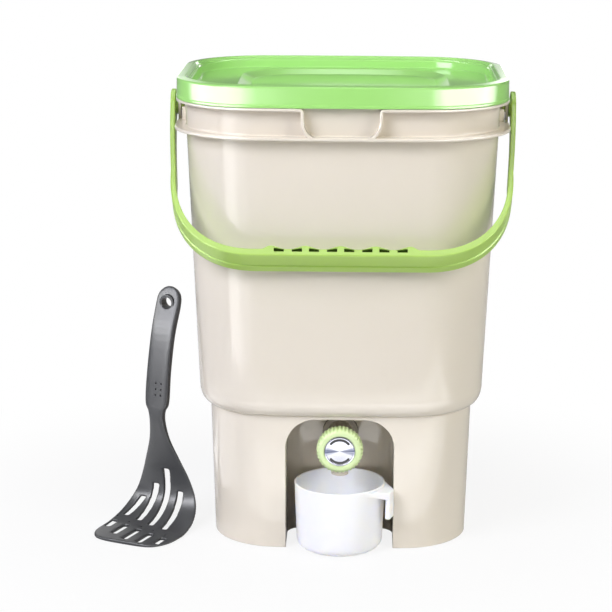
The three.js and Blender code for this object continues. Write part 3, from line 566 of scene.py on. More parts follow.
def build_body():
    ledge_outer = upper(LEDGE_Z)[0] - 2 * WALL
    body = lofted("body", levels([
        skirt_inner(FLOOR_Z - WALL), skirt_inner(0, 0.8), *outer_profile(),
        upper(RIB_Z, 0, 1.2),
        (COLLAR_HALF, COLLAR_CORNER, RIB_Z, 1.1),
        (COLLAR_HALF, COLLAR_CORNER, RIB_TOP, 1.3),
        upper(RIB_TOP, 0, 1.5),
        upper(MOUTH_Z, 0, 1),
        upper(MOUTH_Z, WALL, 1),
        upper(SHOULDER_Z + WALL, WALL, 5),
        (ledge_outer, SHOULDER_CORNER - WALL, LEDGE_Z, 1.2),
        (ledge_outer - LEDGE_WIDTH, FOOT_CORNER - WALL, LEDGE_Z, 1.5),
        skirt_inner(FLOOR_Z, 5),
        (skirt_half(FLOOR_Z) - WALL - FLOOR_EDGE, FOOT_CORNER - WALL - FLOOR_EDGE, FLOOR_Z, 0),
    ]))

    flange = lofted("flange", levels([
        upper(FLANGE_Z, WALL / 2),
        (FLANGE_HALF, COLLAR_CORNER, FLANGE_Z, 0.9),
        (FLANGE_HALF, COLLAR_CORNER, FLANGE_TOP, 0.9),
        upper(FLANGE_TOP, WALL / 2),
    ]), closed=True)
    wall = front(upper(RIB_TOP)[0], 0) + WALL / 4
    cut(flange, box("gap", -NOTCH_GAP, NOTCH_GAP, FAR_FRONT, wall, FLANGE_Z - 5, MOUTH_Z))

    def collar_front(x, z):
        return front(COLLAR_HALF, x)

    def wall_front(x, z):
        return front(upper(z)[0], x) + WALL / 2

    parts = [alcove("alcove_walls", WALL, 0, 0), flange]
    for side in (-1, 1):
        parts.append(ribbon("notch_rib", notch_path(), NOTCH_RIB, collar_front, wall_front, side))
        outer, inner = side * COLLAR_HALF, side * (upper(FLANGE_Z)[0] - WALL / 2)
        x0, x1 = sorted((outer, side * (COLLAR_HALF - EAR_PLATE)))
        y0, z0, z1 = EAR_SETBACK - EAR_HALF, RIB_Z + 0.6, FLANGE_Z + 1
        parts.append(box("ear_plate", x0, x1, y0, EAR_HALF, z0, z1, EAR_ROUND))
        x0, x1 = sorted((outer - side * EAR_WEB_INSET, inner))
        for y in (-EAR_HALF, EAR_HALF - EAR_PLATE):
            parts.append(box("ear_web", x0, x1, y, y + EAR_PLATE, RIB_Z + 0.8, PIVOT_Z, EAR_ROUND))
    fuse(body, *parts)
    cutters = [alcove("alcove_space", 0, -OVERRUN, ALCOVE_EDGE)]
    for side in (-1, 1):
        start, end = sorted((side * (COLLAR_HALF - 2 * EAR_PLATE), side * (COLLAR_HALF + OVERRUN)))
        cutters.append(rod("pin_hole", PIN_RADIUS + GAP, start, end, "x", (0, 0, PIVOT_Z), 40))
    cutters.append(rod("tap_hole", STEM_HOLE, ALCOVE_BACK - 10, ALCOVE_BACK + 2 * WALL, "y", TAP_CENTRE, 48))
    cut(body, *cutters)
    build(body, "bucket_shell", "bin", BEIGE, ["bin_body"])


# Lid

LID_HALF = COLLAR_HALF - 1.8
LID_CORNER = 71.5
LID_WALL = 2.2
SKIRT_Z = 415.4
LID_TOP = 435
RIM_WIDTH = 14.5
RECESS_Z = LID_TOP - 10.8
RECESS_INSET = RIM_WIDTH + 0.9
CHANNEL_Z = LID_TOP - LID_WALL
PANEL_HALF = 97
PANEL_DEPTH = 90
PANEL_CORNER = 44
PANEL_RAMP = 11
PANEL_DROP = 4
SEAL_HEIGHT = 2.2

# How far the panel's top and bottom edges are eased: inset and drop
PANEL_EASE = ((-0.9, 0), (0, 0.02), (0.9, 0.19))


def panel(inset, z):
    outline = plan(PANEL_HALF - inset, PANEL_CORNER - inset * 0.9, PANEL_HALF - PANEL_DEPTH)
    return [(x, y, z) for x, y in outline]


def build_lid():
    def outer(inset, z, radius=0):
        return (LID_HALF - inset, LID_CORNER - inset, z, radius)

    rings = [panel(PANEL_RAMP, RECESS_Z - PANEL_DROP - LID_WALL), panel(0, RECESS_Z - LID_WALL)]
    rings += levels([
        outer(RECESS_INSET - LID_WALL, RECESS_Z - LID_WALL),
        outer(RIM_WIDTH - LID_WALL, CHANNEL_Z, 0.8),
        outer(LID_WALL, CHANNEL_Z, 0.8),
        outer(LID_WALL, SKIRT_Z, 0.5),
        outer(0, SKIRT_Z, 0.6),
        outer(0, SKIRT_Z + 2.2, 0.4),
        outer(0.45, SKIRT_Z + 2.9, 0.4),
        outer(0.7, LID_TOP - 1, 1.8),
        outer(9, LID_TOP, 1.6),
        outer(RIM_WIDTH - 1, LID_TOP - 4.6, 2.4),
        outer(RECESS_INSET, RECESS_Z, 2.2),
        outer(RECESS_INSET + 5, RECESS_Z),
    ], 6)
    rings += [panel(inset, RECESS_Z - drop) for inset, drop in PANEL_EASE]
    rings += [panel(PANEL_RAMP - inset, RECESS_Z - PANEL_DROP + drop) for inset, drop in reversed(PANEL_EASE)]
    build(lofted("lid", rings), "lid_shell", "lid", GREEN, ["lid"])


def build_seal():
    outer_inset, inner_inset = LID_WALL + GAP, RIM_WIDTH - LID_WALL - GAP
    top = CHANNEL_Z - GAP
    low = top - SEAL_HEIGHT
    middle = (outer_inset + inner_inset) / 2
    section = ((middle, low), (outer_inset, low), (outer_inset, top), (inner_inset, top), (inner_inset, low),
               (middle, low))
    rings = levels([(LID_HALF - i, LID_CORNER - i, z, 0.7) for i, z in section])[:-1]
    seal = lofted("seal", rings, closed=True)
    build(seal, "lid_gasket", "lid", RUBBER, ["lid_seal"])


# Carry handle, drawn in its own plane: U across, V from the pivots to the grip, W through the strap

HANDLE_REACH = 179
HANDLE_HALF = 159.8
HANDLE_DRAW = 5.1
BEND_REACH = 94
BEND_WIDTH = 82
BEND_STEPS = 28
FULLNESS = 2 / 2.35
ARM = 4.5
GRIP = 7.2
GRIP_STEPS = 96
STRAP = 26
STRAP_END = 14.5
OUTER_ROUND = 1.3
INNER_ROUND = 0.9
BOSS_RADIUS = 9
WAVES = 5
WAVE_PITCH = 31
WAVE_HEIGHT = 3.6
LAST_PEAK = WAVE_PITCH * (WAVES - 1) / 2
GROOVE_W = -3.6
GROOVE_DEPTH = 1
GROOVE_FLOOR_HALF = 0.6
GROOVE_MOUTH_HALF = 1.5
POCKET_V = HANDLE_REACH - GRIP + 1.5
POCKET_NEAR = 3
POCKET_FAR = 12
POCKET_DEPTH = 11.5

# The dark piece that paints shade into each pocket reaches up to this far below the strap's edge
POCKET_OPEN = 1.1


def rest_lean():
    """How far the handle hangs forward from straight down before its grip meets the front wall."""
    reach = HANDLE_REACH - GRIP - WAVE_HEIGHT
    lean = radians(45)
    for _ in range(12):
        z = PIVOT_Z - reach * cos(lean) - STRAP / 2 * sin(lean)
        depth = GAP + upper(z)[0] - SHORTFALL + BOW
        lean = asin(min(1, (depth + STRAP / 2 * cos(lean)) / reach))
    return lean


def handle_stations():
    """Outer and inner points of the bail in its own plane, from the right pivot round to the left."""
    bend_start = HANDLE_REACH - BEND_REACH

    def arm(v):
        return HANDLE_HALF - HANDLE_DRAW * (max(0, v) / bend_start) ** 1.5

    centre = arm(bend_start) - BEND_WIDTH
    half = [((arm(v), v), (arm(v) - ARM, v)) for v in evenly(0, bend_start, 16)]
    for step in range(1, BEND_STEPS + 1):
        a = pi / 2 * step / BEND_STEPS
        depth = mix(ARM, GRIP, step / BEND_STEPS)
        across, along = cos(a) ** FULLNESS, sin(a) ** FULLNESS
        half.append([(centre + (BEND_WIDTH - d) * across, bend_start + (BEND_REACH - d) * along)
                     for d in (0, depth)])
    tail = min(WAVE_PITCH / 2, (centre - LAST_PEAK) * 0.8)
    inner = HANDLE_REACH - GRIP
    middle = []
    for i in range(1, 2 * GRIP_STEPS):
        u = centre * (1 - i / GRIP_STEPS)
        if abs(u) <= LAST_PEAK:
            crest = (0.5 + 0.5 * cos(2 * pi * (u - LAST_PEAK) / WAVE_PITCH)) ** 1.3
        else:
            crest = 0.5 + 0.5 * cos(pi * min(1, (abs(u) - LAST_PEAK) / tail))
        middle.append(((u, HANDLE_REACH), (u, inner - WAVE_HEIGHT * crest)))
    return half + middle + [((-u, v), (-p, q)) for (u, v), (p, q) in reversed(half)]


def handle_section():
    """The strap's section as (share of thickness from the outer face, offset inwards, W)."""
    def edge(share, r, side, turn):
        way = 1 - 2 * share
        return [(share, way * r * (1 - s), side * (STRAP / 2 - r + r * c)) for c, s in turn]

    groove = [(0, 0, GROOVE_W + GROOVE_MOUTH_HALF), (0, GROOVE_DEPTH, GROOVE_W + GROOVE_FLOOR_HALF),
              (0, GROOVE_DEPTH, GROOVE_W - GROOVE_FLOOR_HALF), (0, 0, GROOVE_W - GROOVE_MOUTH_HALF)]
    return [*edge(0, OUTER_ROUND, 1, arc(0, 90, 5)), *groove, *edge(0, OUTER_ROUND, -1, arc(90, 0, 5)),
            *edge(1, INNER_ROUND, -1, arc(0, 90, 4)), *edge(1, INNER_ROUND, 1, arc(90, 0, 4))]


def grip_pockets():
    """Cutters for the wedge pockets behind the grip's waves, and dark pieces that paint shade inside the pockets."""
    pockets, fills = [], []
    for peak in range(WAVES):
        middle = WAVE_PITCH * peak - LAST_PEAK
        for hand in (-1, 1):
            near, far = middle + hand * POCKET_NEAR, middle + hand * POCKET_FAR
            if abs(near + far) / 2 > LAST_PEAK:
                continue
            outline = [(near, POCKET_V - 2.4), (near + hand * 2, POCKET_V - 2.3), (far, POCKET_V - 1),
                       (far, POCKET_V + 1.6), (near, POCKET_V + 1.6)]
            for side in (1, -1):
                bottom, edge = side * (STRAP / 2 - POCKET_DEPTH), side * STRAP / 2
                pockets.append(drawn("pocket", outline, sorted((bottom, edge + side * 5))))
                # Dark blocks that paint the pockets' shade
                fills.append(drawn("fill", outline, sorted((bottom + side * 0.4, edge - side * POCKET_OPEN))))
    return pockets, joined("fills", fills)


def build_handle():
    section = handle_section()
    rings = []
    for outer, inner in handle_stations():
        outer, inner = Vector(outer), Vector(inner)
        way = (inner - outer).normalized()
        points = [(outer.lerp(inner, share) + way * offset, w) for share, offset, w in section]
        rings.append([(p.x, p.y, w) for p, w in points])
    bail = lofted("bail", rings)
    extras = []
    for side in (-1, 1):
        face, back = side * HANDLE_HALF, side * (HANDLE_HALF - ARM)
        plate = side * (COLLAR_HALF + GAP)
        tip = side * (COLLAR_HALF - 2 * EAR_PLATE)
        middle = side * (HANDLE_HALF - ARM / 2)
        extras.append(rod("end", STRAP_END, face, back, "x", fillet=1.1))
        extras.append(rod("boss", BOSS_RADIUS, plate, middle, "x", fillet=0.5))
        extras.append(rod("pin", PIN_RADIUS, tip, middle, "x", sides=48, fillet=0.7))
    fuse(bail, *extras)
    pockets, fills = grip_pockets()
    cut(bail, *pockets)
    lean = rest_lean()
    way_v = Vector((0, -sin(lean), -cos(lean)))
    way_w = Vector((0, -cos(lean), sin(lean)))
    place = Matrix(((1, 0, 0, 0), (0, way_v.y, way_w.y, 0), (0, way_v.z, way_w.z, PIVOT_Z), (0, 0, 0, 1)))
    for piece in (bail, fills):
        piece.data.transform(place)
        if place.determinant() < 0:
            piece.data.flip_normals()
    # The dark pocket pieces paint shade; they are not part of the real handle
    build(fills, "carry_pocket_painted_shade", "handle", POCKET_SHADE)
    build(bail, "carry_bail", "handle", LIME, ["carry_handle"], weighted=False)


# Drain tap; distances are forward from the alcove's back wall

TAP_FRONT = 65
KNOB_RADIUS = 21.5
KNOB_BACK = TAP_FRONT - 13.5
KNOB_WEB = KNOB_BACK + 6
KNOB_ROUND = 5.4
KNOB_CROWN = 4.6
KNURLS = 36
KNURL_STEPS = 9
KNURL_DEPTH = 1.5
KNURL_SHARE = 0.19
KNURL_END = 84
CORE_RADIUS = 5
BARREL_RADIUS = 12.5
BARREL_BORE = 8
BARREL_LENGTH = 38
FLANGE_RADIUS = 17
SPOUT_PLACE = 39
SPOUT_RADIUS = 8
SPOUT_DROP = 29
SPOUT_BORE = 5.5
WASHER = 2.4
NUT_RADIUS = 17.5
NUT_HEIGHT = 7
DISC_RADIUS = 13.9
DISC_FRONT = TAP_FRONT - 0.6
DISC_THICKNESS = 1.9
MARK_RADIUS = 10.9
MARK_HALF = 1.15
MARK_SPREAD = 54
MARK_LIFT = 0.24


def tap_y(distance):
    return ALCOVE_BACK - distance


def tap_lathe(name, profile, fillet, sides=72, closed=True):
    return lathe(name, [(r, tap_y(d)) for r, d in profile], "y", TAP_CENTRE, sides, fillet, closed)


def tap_ring(distance, sides, radius_at):
    """A ring about the tap's axis, whose radius may change with the angle."""
    spokes = [(radius_at(a), c, s) for a, c, s in turns(sides)]
    return [(r * c, tap_y(distance), TAP_Z + r * s) for r, c, s in spokes]


def build_knob():
    disc_floor = DISC_FRONT - DISC_THICKNESS - GAP
    screw_floor = disc_floor - 1.5 - GAP
    bore = CORE_RADIUS + GAP
    crown = TAP_FRONT - KNOB_ROUND

    # Radius, distance and share of the knurls' depth
    rows = [
        (bore, KNOB_WEB, 0), (17.3, KNOB_WEB, 0), (17.5, KNOB_WEB - 0.3, 0), (17.5, KNOB_BACK + 0.4, 0),
        (17.9, KNOB_BACK, 0), (19.8, KNOB_BACK, 0), (20.9, KNOB_BACK + 0.4, 0.3),
        (KNOB_RADIUS, KNOB_BACK + 1.3, 1),
    ]
    rows += [(KNOB_RADIUS, d, 1) for d in evenly(KNOB_BACK + 2, crown, 4)]
    for step, (c, s) in enumerate(arc(0, 90, 12)[1:], 1):
        fade = max(0, 1 - 90 / 12 * step / KNURL_END)
        rows.append((KNOB_RADIUS - KNOB_CROWN * (1 - c), crown + KNOB_ROUND * s, fade))
    rows += [
        (15.9, TAP_FRONT - 0.1, 0), (14.7, TAP_FRONT - 0.5, 0), (14.3, TAP_FRONT - 0.9, 0),
        (14.2, disc_floor, 0), (7.1, disc_floor, 0), (7.1, screw_floor, 0), (bore, screw_floor, 0),
    ]

    def dip(a):
        phase = (a * KNURLS / (2 * pi)) % 1
        return KNURL_DEPTH * exp(-((phase - 0.5) / KNURL_SHARE) ** 2)

    rings = [tap_ring(distance, KNURLS * KNURL_STEPS, lambda a: radius - share * dip(a))
             for radius, distance, share in rows]
    build(lofted("knob", rings, closed=True), "tap_grip", "valve", KNOB_LIME, ["tap_knob"], crease=50)


def build_disc():
    back = DISC_FRONT - DISC_THICKNESS
    disc = tap_lathe("disc", [
        (0, back), (DISC_RADIUS, back), (DISC_RADIUS, DISC_FRONT - 0.2), (12.9, DISC_FRONT),
        (12.2, DISC_FRONT - 0.25), (6, DISC_FRONT - 0.55), (0, DISC_FRONT - 0.65),
    ], 0.12, 96, closed=False)
    centre = MIDDLE + Vector((0, tap_y(TAP_FRONT), TAP_Z)) * MM
    metal = spun_metal("disc_spun", tuple(centre), (170, 171, 180), (44, 52, 78))
    build(disc, "tap_face", "valve", metal, ["tap_disc"], crease=60)
    arcs = []
    for middle in (90, 270):
        rings = []
        for a in evenly(middle - MARK_SPREAD, middle + MARK_SPREAD, 24):
            t = radians(a)
            half = MARK_HALF * min(1, (MARK_SPREAD - abs(a - middle)) / 5 + 0.25)
            low, high = MARK_RADIUS - half, MARK_RADIUS + half
            section = ((low, -0.3), (low, MARK_LIFT), (high, MARK_LIFT), (high, -0.3))
            rings.append([(r * cos(t), tap_y(DISC_FRONT - 0.35 + d), TAP_Z + r * sin(t)) for r, d in section])
        arcs.append(lofted("arc", rings))
    build(joined("arcs", arcs), "tap_face_marks", "valve", INK)


def build_tap():
    barrel_front = KNOB_WEB - GAP
    flange = GAP + WASHER + GAP
    inner_washer = -(WALL + GAP + WASHER)
    nut_face = inner_washer - GAP
    stem_end = nut_face - NUT_HEIGHT - 6
    barrel_end = barrel_front - BARREL_LENGTH - GAP
    body = tap_lathe("tap", [
        (6, stem_end), (STEM_RADIUS, stem_end), (STEM_RADIUS, flange), (FLANGE_RADIUS, flange),
        (FLANGE_RADIUS, flange + 3), (BARREL_RADIUS, flange + 3), (BARREL_RADIUS, barrel_front),
        (BARREL_BORE, barrel_front), (BARREL_BORE, barrel_end), (6, barrel_end),
    ], 0.5)
    spout_y = tap_y(SPOUT_PLACE)
    spout_centre = (0, spout_y, 0)
    spout = rod("spout", SPOUT_RADIUS, TAP_Z - SPOUT_DROP, TAP_Z, "z", spout_centre, 56, 0.6)
    cut(spout, rod("core", BARREL_BORE, spout_y - 25, spout_y + 25, "y", TAP_CENTRE))
    fuse(body, spout)
    cut(body, rod("drain", SPOUT_BORE, TAP_Z - 50, TAP_Z, "z", spout_centre, 48))
    build(body, "tap_housing", "bin", HOUSING, ["tap_body"])
    for node, start in (("tap_outer_washer", GAP), ("tap_inner_washer", inner_washer)):
        end = start + WASHER
        section = [(13.6, start), (FLANGE_RADIUS, start), (FLANGE_RADIUS, end), (STEM_HOLE, end), (STEM_HOLE, start)]
        build(tap_lathe(node, section, 0.5), node + "_ring", "bin", RUBBER, [node])

    def hexagon(a):
        return NUT_RADIUS * cos(pi / 6) / cos((a % (pi / 3)) - pi / 6)

    levels = ((0, 0.93), (0.9, 0.985), (NUT_HEIGHT - 0.9, 0.985), (NUT_HEIGHT, 0.93))
    nut = lofted("nut", [tap_ring(nut_face - depth, 72, lambda a: min(hexagon(a), NUT_RADIUS * limit))
                         for depth, limit in levels])
    cut(nut, rod("bore", STEM_HOLE, tap_y(5), tap_y(-30), "y", TAP_CENTRE, 60))
    build(nut, "tap_back_nut", "bin", GREY, ["tap_lock_nut"])


# Drip cup

CUP_RADIUS = 42
CUP_BASE = 39.5
CUP_HEIGHT = 63
CUP_WALL = 1.8
CUP_LIP = 0.9
CUP_ROUND = 9
CUP_SIDES = 112
HOOK_TURN = radians(-21)
HOOK_SPREAD = radians(48)
HOOK_TOP = CUP_HEIGHT - 0.7
TAB_HALF = 6
TAB_LOW = 33
TAB_TOP = 59.4
TAB_GAP = 5.5
TAB_THICKNESS = 4.6


def cup_radius(z):
    return mix(CUP_BASE, CUP_RADIUS, z / CUP_HEIGHT)


def build_cup():
    def base(inset, steps):
        """The round at the foot; inset makes it the inner one."""
        rises = [(CUP_ROUND * (1 - c), s) for c, s in steps]
        return [(cup_radius(rise) - CUP_ROUND + CUP_ROUND * s - inset, rise + inset) for rise, s in rises]

    middle = CUP_RADIUS - CUP_WALL / 2
    profile = [(0.01, 0.9), (24, 0.9), (25.5, 0), (29, 0)] + base(0, arc(0, 90, 9)[1:])
    profile.append((cup_radius(CUP_HEIGHT - 3), CUP_HEIGHT - 3))
    profile += [(middle + CUP_WALL / 2 * c, CUP_HEIGHT - CUP_LIP + CUP_LIP * s) for c, s in arc(0, 180, 8)]
    profile += base(CUP_WALL, arc(90, 0, 9)) + [(0.01, CUP_WALL + 0.9)]
    cup = lathe("cup", profile, "z", sides=CUP_SIDES)

    near = cup_radius(CUP_HEIGHT - 5) + TAB_GAP
    far = near + TAB_THICKNESS
    top, bottom = [], []
    for a in evenly(-HOOK_SPREAD, HOOK_SPREAD, 20):
        r = CUP_RADIUS - 1.1
        depth = 1.2 + 6.6 * (1 - (abs(a) / HOOK_SPREAD)) ** 0.8
        top.append((r * cos(a), r * sin(a), HOOK_TOP))
        bottom.append((r * cos(a), r * sin(a), HOOK_TOP - depth))
    for y in (TAB_HALF, -TAB_HALF):
        top.append((far - 0.6, y, TAB_TOP))
        bottom.append((far - 0.6, y, TAB_TOP - 7.5))
    web = lofted("web", [bottom, top])
    applied(web, "BEVEL", width=0.5, segments=2, limit_method="ANGLE", angle_limit=radians(40))
    fuse(web, box("tab", near, far, -TAB_HALF, TAB_HALF, TAB_LOW, TAB_TOP, 1.4, 4))
    inside = [(0, 20), (CUP_RADIUS - 1.5, 20), (CUP_RADIUS - 1, 90), (0, 90)]
    cut(web, lathe("inside", inside, "z", sides=CUP_SIDES))
    web.data.transform(Matrix.Rotation(HOOK_TURN, 4, "Z"))
    fuse(cup, web)
    cup.data.transform(Matrix.Translation((0, CUP_Y, 0)))
    build(cup, "cup_shell", "cup", WHITE, ["drip_cup"], crease=40)


# Masher, drawn standing: X across, S backwards, Z up

MASHER_PLACE = (-185.8, -52)
MASHER_TURN = radians(-24)
MASHER_WIDTH = 84
MASHER_SIDES = 40
SECTION_POWER = 0.5
LYING_Z = 1.2

# S, Z, width and thickness along the middle line, from the foot's front edge to the handle's top
MASHER_STATIONS = (
    (-41.5, 1.7, 32.8, 3.4), (-40.7, 1.7, 49.6, 3.4), (-36.5, 1.7, 66.4, 3.4), (-23.7, 1.7, 80.6, 3.4),
    (-6.6, 1.7, 84, 3.4), (5.9, 2.6, 83.6, 3.4), (22.4, 7.1, 80.2, 3.4), (35.1, 15.7, 73.5, 3.4),
    (41.9, 27.6, 63.4, 3.4), (41.3, 44.5, 50.8, 3.4), (36.7, 62.5, 37, 3.9), (31.3, 82.8, 22, 5.4),
    (27.7, 100.8, 15.6, 7.7), (26.8, 112.1, 16.8, 9), (27.7, 121.1, 24, 9), (31.9, 150.4, 24.2, 9),
    (40.4, 184.2, 24.4, 8.6), (50.8, 209, 25.7, 7.7), (54.5, 219.1, 23.6, 7.2), (56.4, 224.7, 15.6, 6.3),
    (57.5, 227, 6, 5),
)
LAST_STATION = len(MASHER_STATIONS) - 1

# The foot's short slots
FOOT_SLOTS = range(-2, 3)
FOOT_SLOT_PITCH = 16.6
FOOT_SLOT_HALF = 3.1
FOOT_SLOT_LENGTH = 29

# The blade's long slots: place across at the foot and at the top as shares, and first and last station
BLADE_SLOTS = ((-0.74, -0.54, 5.7, 7.4), (-0.34, -0.25, 5.4, 8.4), (0.04, 0.05, 5.1, 9.4), (0.43, 0.38, 4.8, 8.1))
BLADE_SLOT_HALF = 3.2
BLADE_SLOT_REACH = 7

# The hang hole and its ring, and the dimples in the handle (Z and floor) and in the foot (X and S)
HANG_Z = 213.4
HANG_RADIUS = 5.4
RING_SECTION = ((5.3, 47.4), (7.7, 47.4), (7.7, 57.2), (5.3, 57.2))
DIMPLE_COLUMNS = (0, 5.6)
DIMPLE_ROWS = ((128.5, 25.3), (134, 26.1), (139.6, 26.9))
DIMPLE_RADIUS = 0.95
FOOT_DOTS = ((-38.3, 13.7), (-20.7, 6), (-4.2, 0.6), (11.8, -4.5), (27.9, -9.8))
FOOT_DOT_HALF = 0.9


def spline(values, position):
    """A smooth value between a row of values, at a position counted in rows."""
    last = len(values) - 1
    i = min(int(position), last - 1)
    t = position - i
    p0, p1, p2, p3 = (values[max(0, min(last, k))] for k in (i - 1, i, i + 1, i + 2))
    return 0.5 * (2 * p1 + (p2 - p0) * t + (2 * p0 - 5 * p1 + 4 * p2 - p3) * t * t
                  + (3 * p1 - p0 - 3 * p2 + p3) * t**3)


def masher_at(position):
    return [spline([row[k] for row in MASHER_STATIONS], position) for k in range(4)]


def masher_frame(position):
    """S, Z, width, thickness and direction of the middle line at a position counted in stations."""
    s, z, width, thickness = masher_at(position)
    step = 0.12
    a, b = masher_at(max(0, position - step)), masher_at(min(LAST_STATION, position + step))
    tangent = Vector((b[0] - a[0], b[1] - a[1])).normalized()
    return s, max(z, thickness / 2), width, thickness, tangent


def masher_blank():
    rings = []
    for position in evenly(0, LAST_STATION, LAST_STATION * 5):
        s, z, width, thickness, tangent = masher_frame(position)
        if z - thickness / 2 < LYING_Z:
            tangent = Vector((1, 0))
        ring = []
        for _, c, d in turns(MASHER_SIDES):
            across = width / 2 * copysign(abs(c) ** SECTION_POWER, c)
            through = thickness / 2 * copysign(abs(d) ** SECTION_POWER, d)
            ring.append((across, s - through * tangent.y, z + through * tangent.x))
        rings.append(ring)
    return lofted("masher", rings)


def masher_slots():
    cutters = []
    for place in FOOT_SLOTS:
        x = place * FOOT_SLOT_PITCH - FOOT_SLOT_PITCH * 0.17
        length = FOOT_SLOT_LENGTH * (1 - 0.11 * place * place)
        centre = 10.4 * (2 * x / MASHER_WIDTH) ** 2 - 41.5 * 0.5 - x * 0.31
        y0, y1 = centre - length / 2, centre + length / 2
        cutters.append(box("slot", x - FOOT_SLOT_HALF, x + FOOT_SLOT_HALF, y0, y1, -OVERRUN, 10))
    for low_share, high_share, first, end in BLADE_SLOTS:
        rings = []
        for share in evenly(0, 1, 16):
            s, z, _, _, tangent = masher_frame(mix(first, end, share))
            x = MASHER_WIDTH / 2 * mix(low_share, high_share, share)
            way_s, way_z = BLADE_SLOT_REACH * tangent.y, BLADE_SLOT_REACH * tangent.x
            rings.append([(x + i * BLADE_SLOT_HALF, s - j * way_s, z + j * way_z)
                          for i, j in ((-1, 1), (1, 1), (1, -1), (-1, -1))])
        cutters.append(lofted("slot", rings))
    return cutters


def build_masher():
    masher = masher_blank()
    hang_centre = (0, 0, HANG_Z)
    cut(masher, *masher_slots(), rod("hang_hole", HANG_RADIUS, 30, 80, "y", hang_centre, 40))
    applied(masher, "REMESH", mode="VOXEL", voxel_size=0.75, use_smooth_shade=True)
    applied(masher, "SMOOTH", factor=0.5, iterations=6)
    fuse(masher, lathe("ring", RING_SECTION, "y", hang_centre, 48, 0.5, closed=True))
    dots = [rod("dimple", DIMPLE_RADIUS, 10, floor, "y", (x, 0, z), 20)
            for x in DIMPLE_COLUMNS for z, floor in DIMPLE_ROWS]
    dots += [box("dot", x - FOOT_DOT_HALF, x + FOOT_DOT_HALF, s - FOOT_DOT_HALF, s + FOOT_DOT_HALF, 2.6, 9)
             for x, s in FOOT_DOTS]
    cut(masher, *dots)
    low = min(v.co.z for v in masher.data.vertices)
    masher.data.transform(Matrix.Translation((*MASHER_PLACE, -min(0, low))) @ Matrix.Rotation(MASHER_TURN, 4, "Z"))
    build(masher, "masher_blade", "masher", CHARCOAL, ["masher"], crease=60, weighted=False)


# Strainer

STRAINER_THICKNESS = 2.5
STRAINER_RIM = 6
SLOT_COLUMNS = range(-3, 4)
SLOT_ROWS = range(-5, 6)
SLOT_PITCH_X = 29
SLOT_PITCH_Y = 15
SLOT_REACH = 8.5
SLOT_HALF = 2.5
POST_ROOM = (22, 14)
CORNER_SHARE = 1.45


def build_strainer():
    half = upper(LEDGE_Z)[0] - 2 * WALL - 2 * GAP
    corner = SHOULDER_CORNER - WALL
    base = LEDGE_Z + GAP
    top = base + STRAINER_THICKNESS
    rim = base + STRAINER_RIM
    section = ((6, base, 0), (0, base, 0.8), (0, rim, 0.9), (2.5, rim, 0.9), (2.5, top, 1.4), (8, top, 0))
    tray = lofted("tray", levels([(half - i, corner - i, z, r) for i, z, r in section]))
    slots = []
    for column in SLOT_COLUMNS:
        for row in SLOT_ROWS:
            x, y = column * SLOT_PITCH_X, row * SLOT_PITCH_Y
            near_post = abs(x) < POST_ROOM[0] and abs(y) < POST_ROOM[1]
            if near_post or abs(x) / half + abs(y) / (half - SHORTFALL) > CORNER_SHARE:
                continue
            outline = [(x + end * (SLOT_REACH + SLOT_HALF * c), y + end * SLOT_HALF * s)
                       for end in (1, -1) for c, s in arc(-90, 90, 6)]
            slots.append(drawn("slot", outline, (base - 5, top + 5)))
    cut(tray, joined("slots", slots))
    post = lathe("post", [(0, base + 1.2), (11, base + 1.2), (11, top + 0.8), (8.2, top + 3), (7.4, top + 14),
                          (9, top + 17), (9, top + 22), (0, top + 22)], "z", sides=64, fillet=1.2)
    fuse(tray, post)
    build(tray, "strainer_tray", "strainer", GREY, ["strainer"])


# Studio

PURE_WHITE = (1, 1, 1, 1)
FLOOR_REACH = 9


def stage():
    """A floor that keeps the part's shadow, and fades to plain white away from it."""
    floor = bpy.data.meshes.new("floor")
    corners = [(x * FLOOR_REACH, y * FLOOR_REACH, 0) for x, y in ((-1, -1), (1, -1), (1, 1), (-1, 1))]
    floor.from_pydata(corners, [], [(0, 1, 2, 3)])
    obj = placed("floor", floor)
    material = bpy.data.materials.new("floor_pale")
    tree = Tree(material)
    shader = tree.nodes["Principled BSDF"]
    tree.fill(shader, {"Base Color": colour(226, 226, 226), "Roughness": 0.55, "Specular IOR Level": 0.2})
    white = tree.add("Emission", {"Color": PURE_WHITE, "Strength": 1})["Emission"]
    ray = tree.add("LightPath", {})
    away = tree.add("VectorMath", {0: tree.object_place()}, operation="LENGTH")["Value"]
    fade = tree.ramp(away, (0.86, 1), "SMOOTHSTEP", 0.15, 0.5)
    seen = tree.math("MULTIPLY", ray["Is Camera Ray"], fade)
    share = tree.math("MULTIPLY_ADD", ray["Is Glossy Ray"], 0.12, seen)
    surface = tree.blend(share, shader.outputs["BSDF"], white)
    tree.fill(tree.nodes["Material Output"], {"Surface": surface})
    floor.materials.append(material)


def world():
    """A dim white room that the camera sees as plain white."""
    back = bpy.data.worlds.new("studio")
    bpy.context.scene.world = back
    tree = Tree(back)
    plain = tree.nodes["Background"]
    tree.fill(plain, {"Color": PURE_WHITE, "Strength": 0.16})
    white = tree.add("Background", {"Color": PURE_WHITE, "Strength": 1})["Background"]
    ray = tree.add("LightPath", {})
    seen = tree.math("MAXIMUM", ray["Is Camera Ray"], ray["Is Transmission Ray"])
    surface = tree.blend(seen, plain.outputs["Background"], white)
    tree.fill(tree.nodes["World Output"], {"Surface": surface})


# Softboxes. A profile is the brightness along the box's own X: left to right in the picture for a box in front
# of the bin, right to left for one behind it.
COOL = (0.98, 0.99, 1.09)
WARM = (1.01, 1, 0.93)
AIM = (0.036, 0, 0.25)
RING = 0.62
RING_CENTRE = (0.036, 0.005)
LID_BAND = (0.33, 0.47)
BODY_BAND = (0, 0.3)
FLOOR_LAMP_Z = 0.004

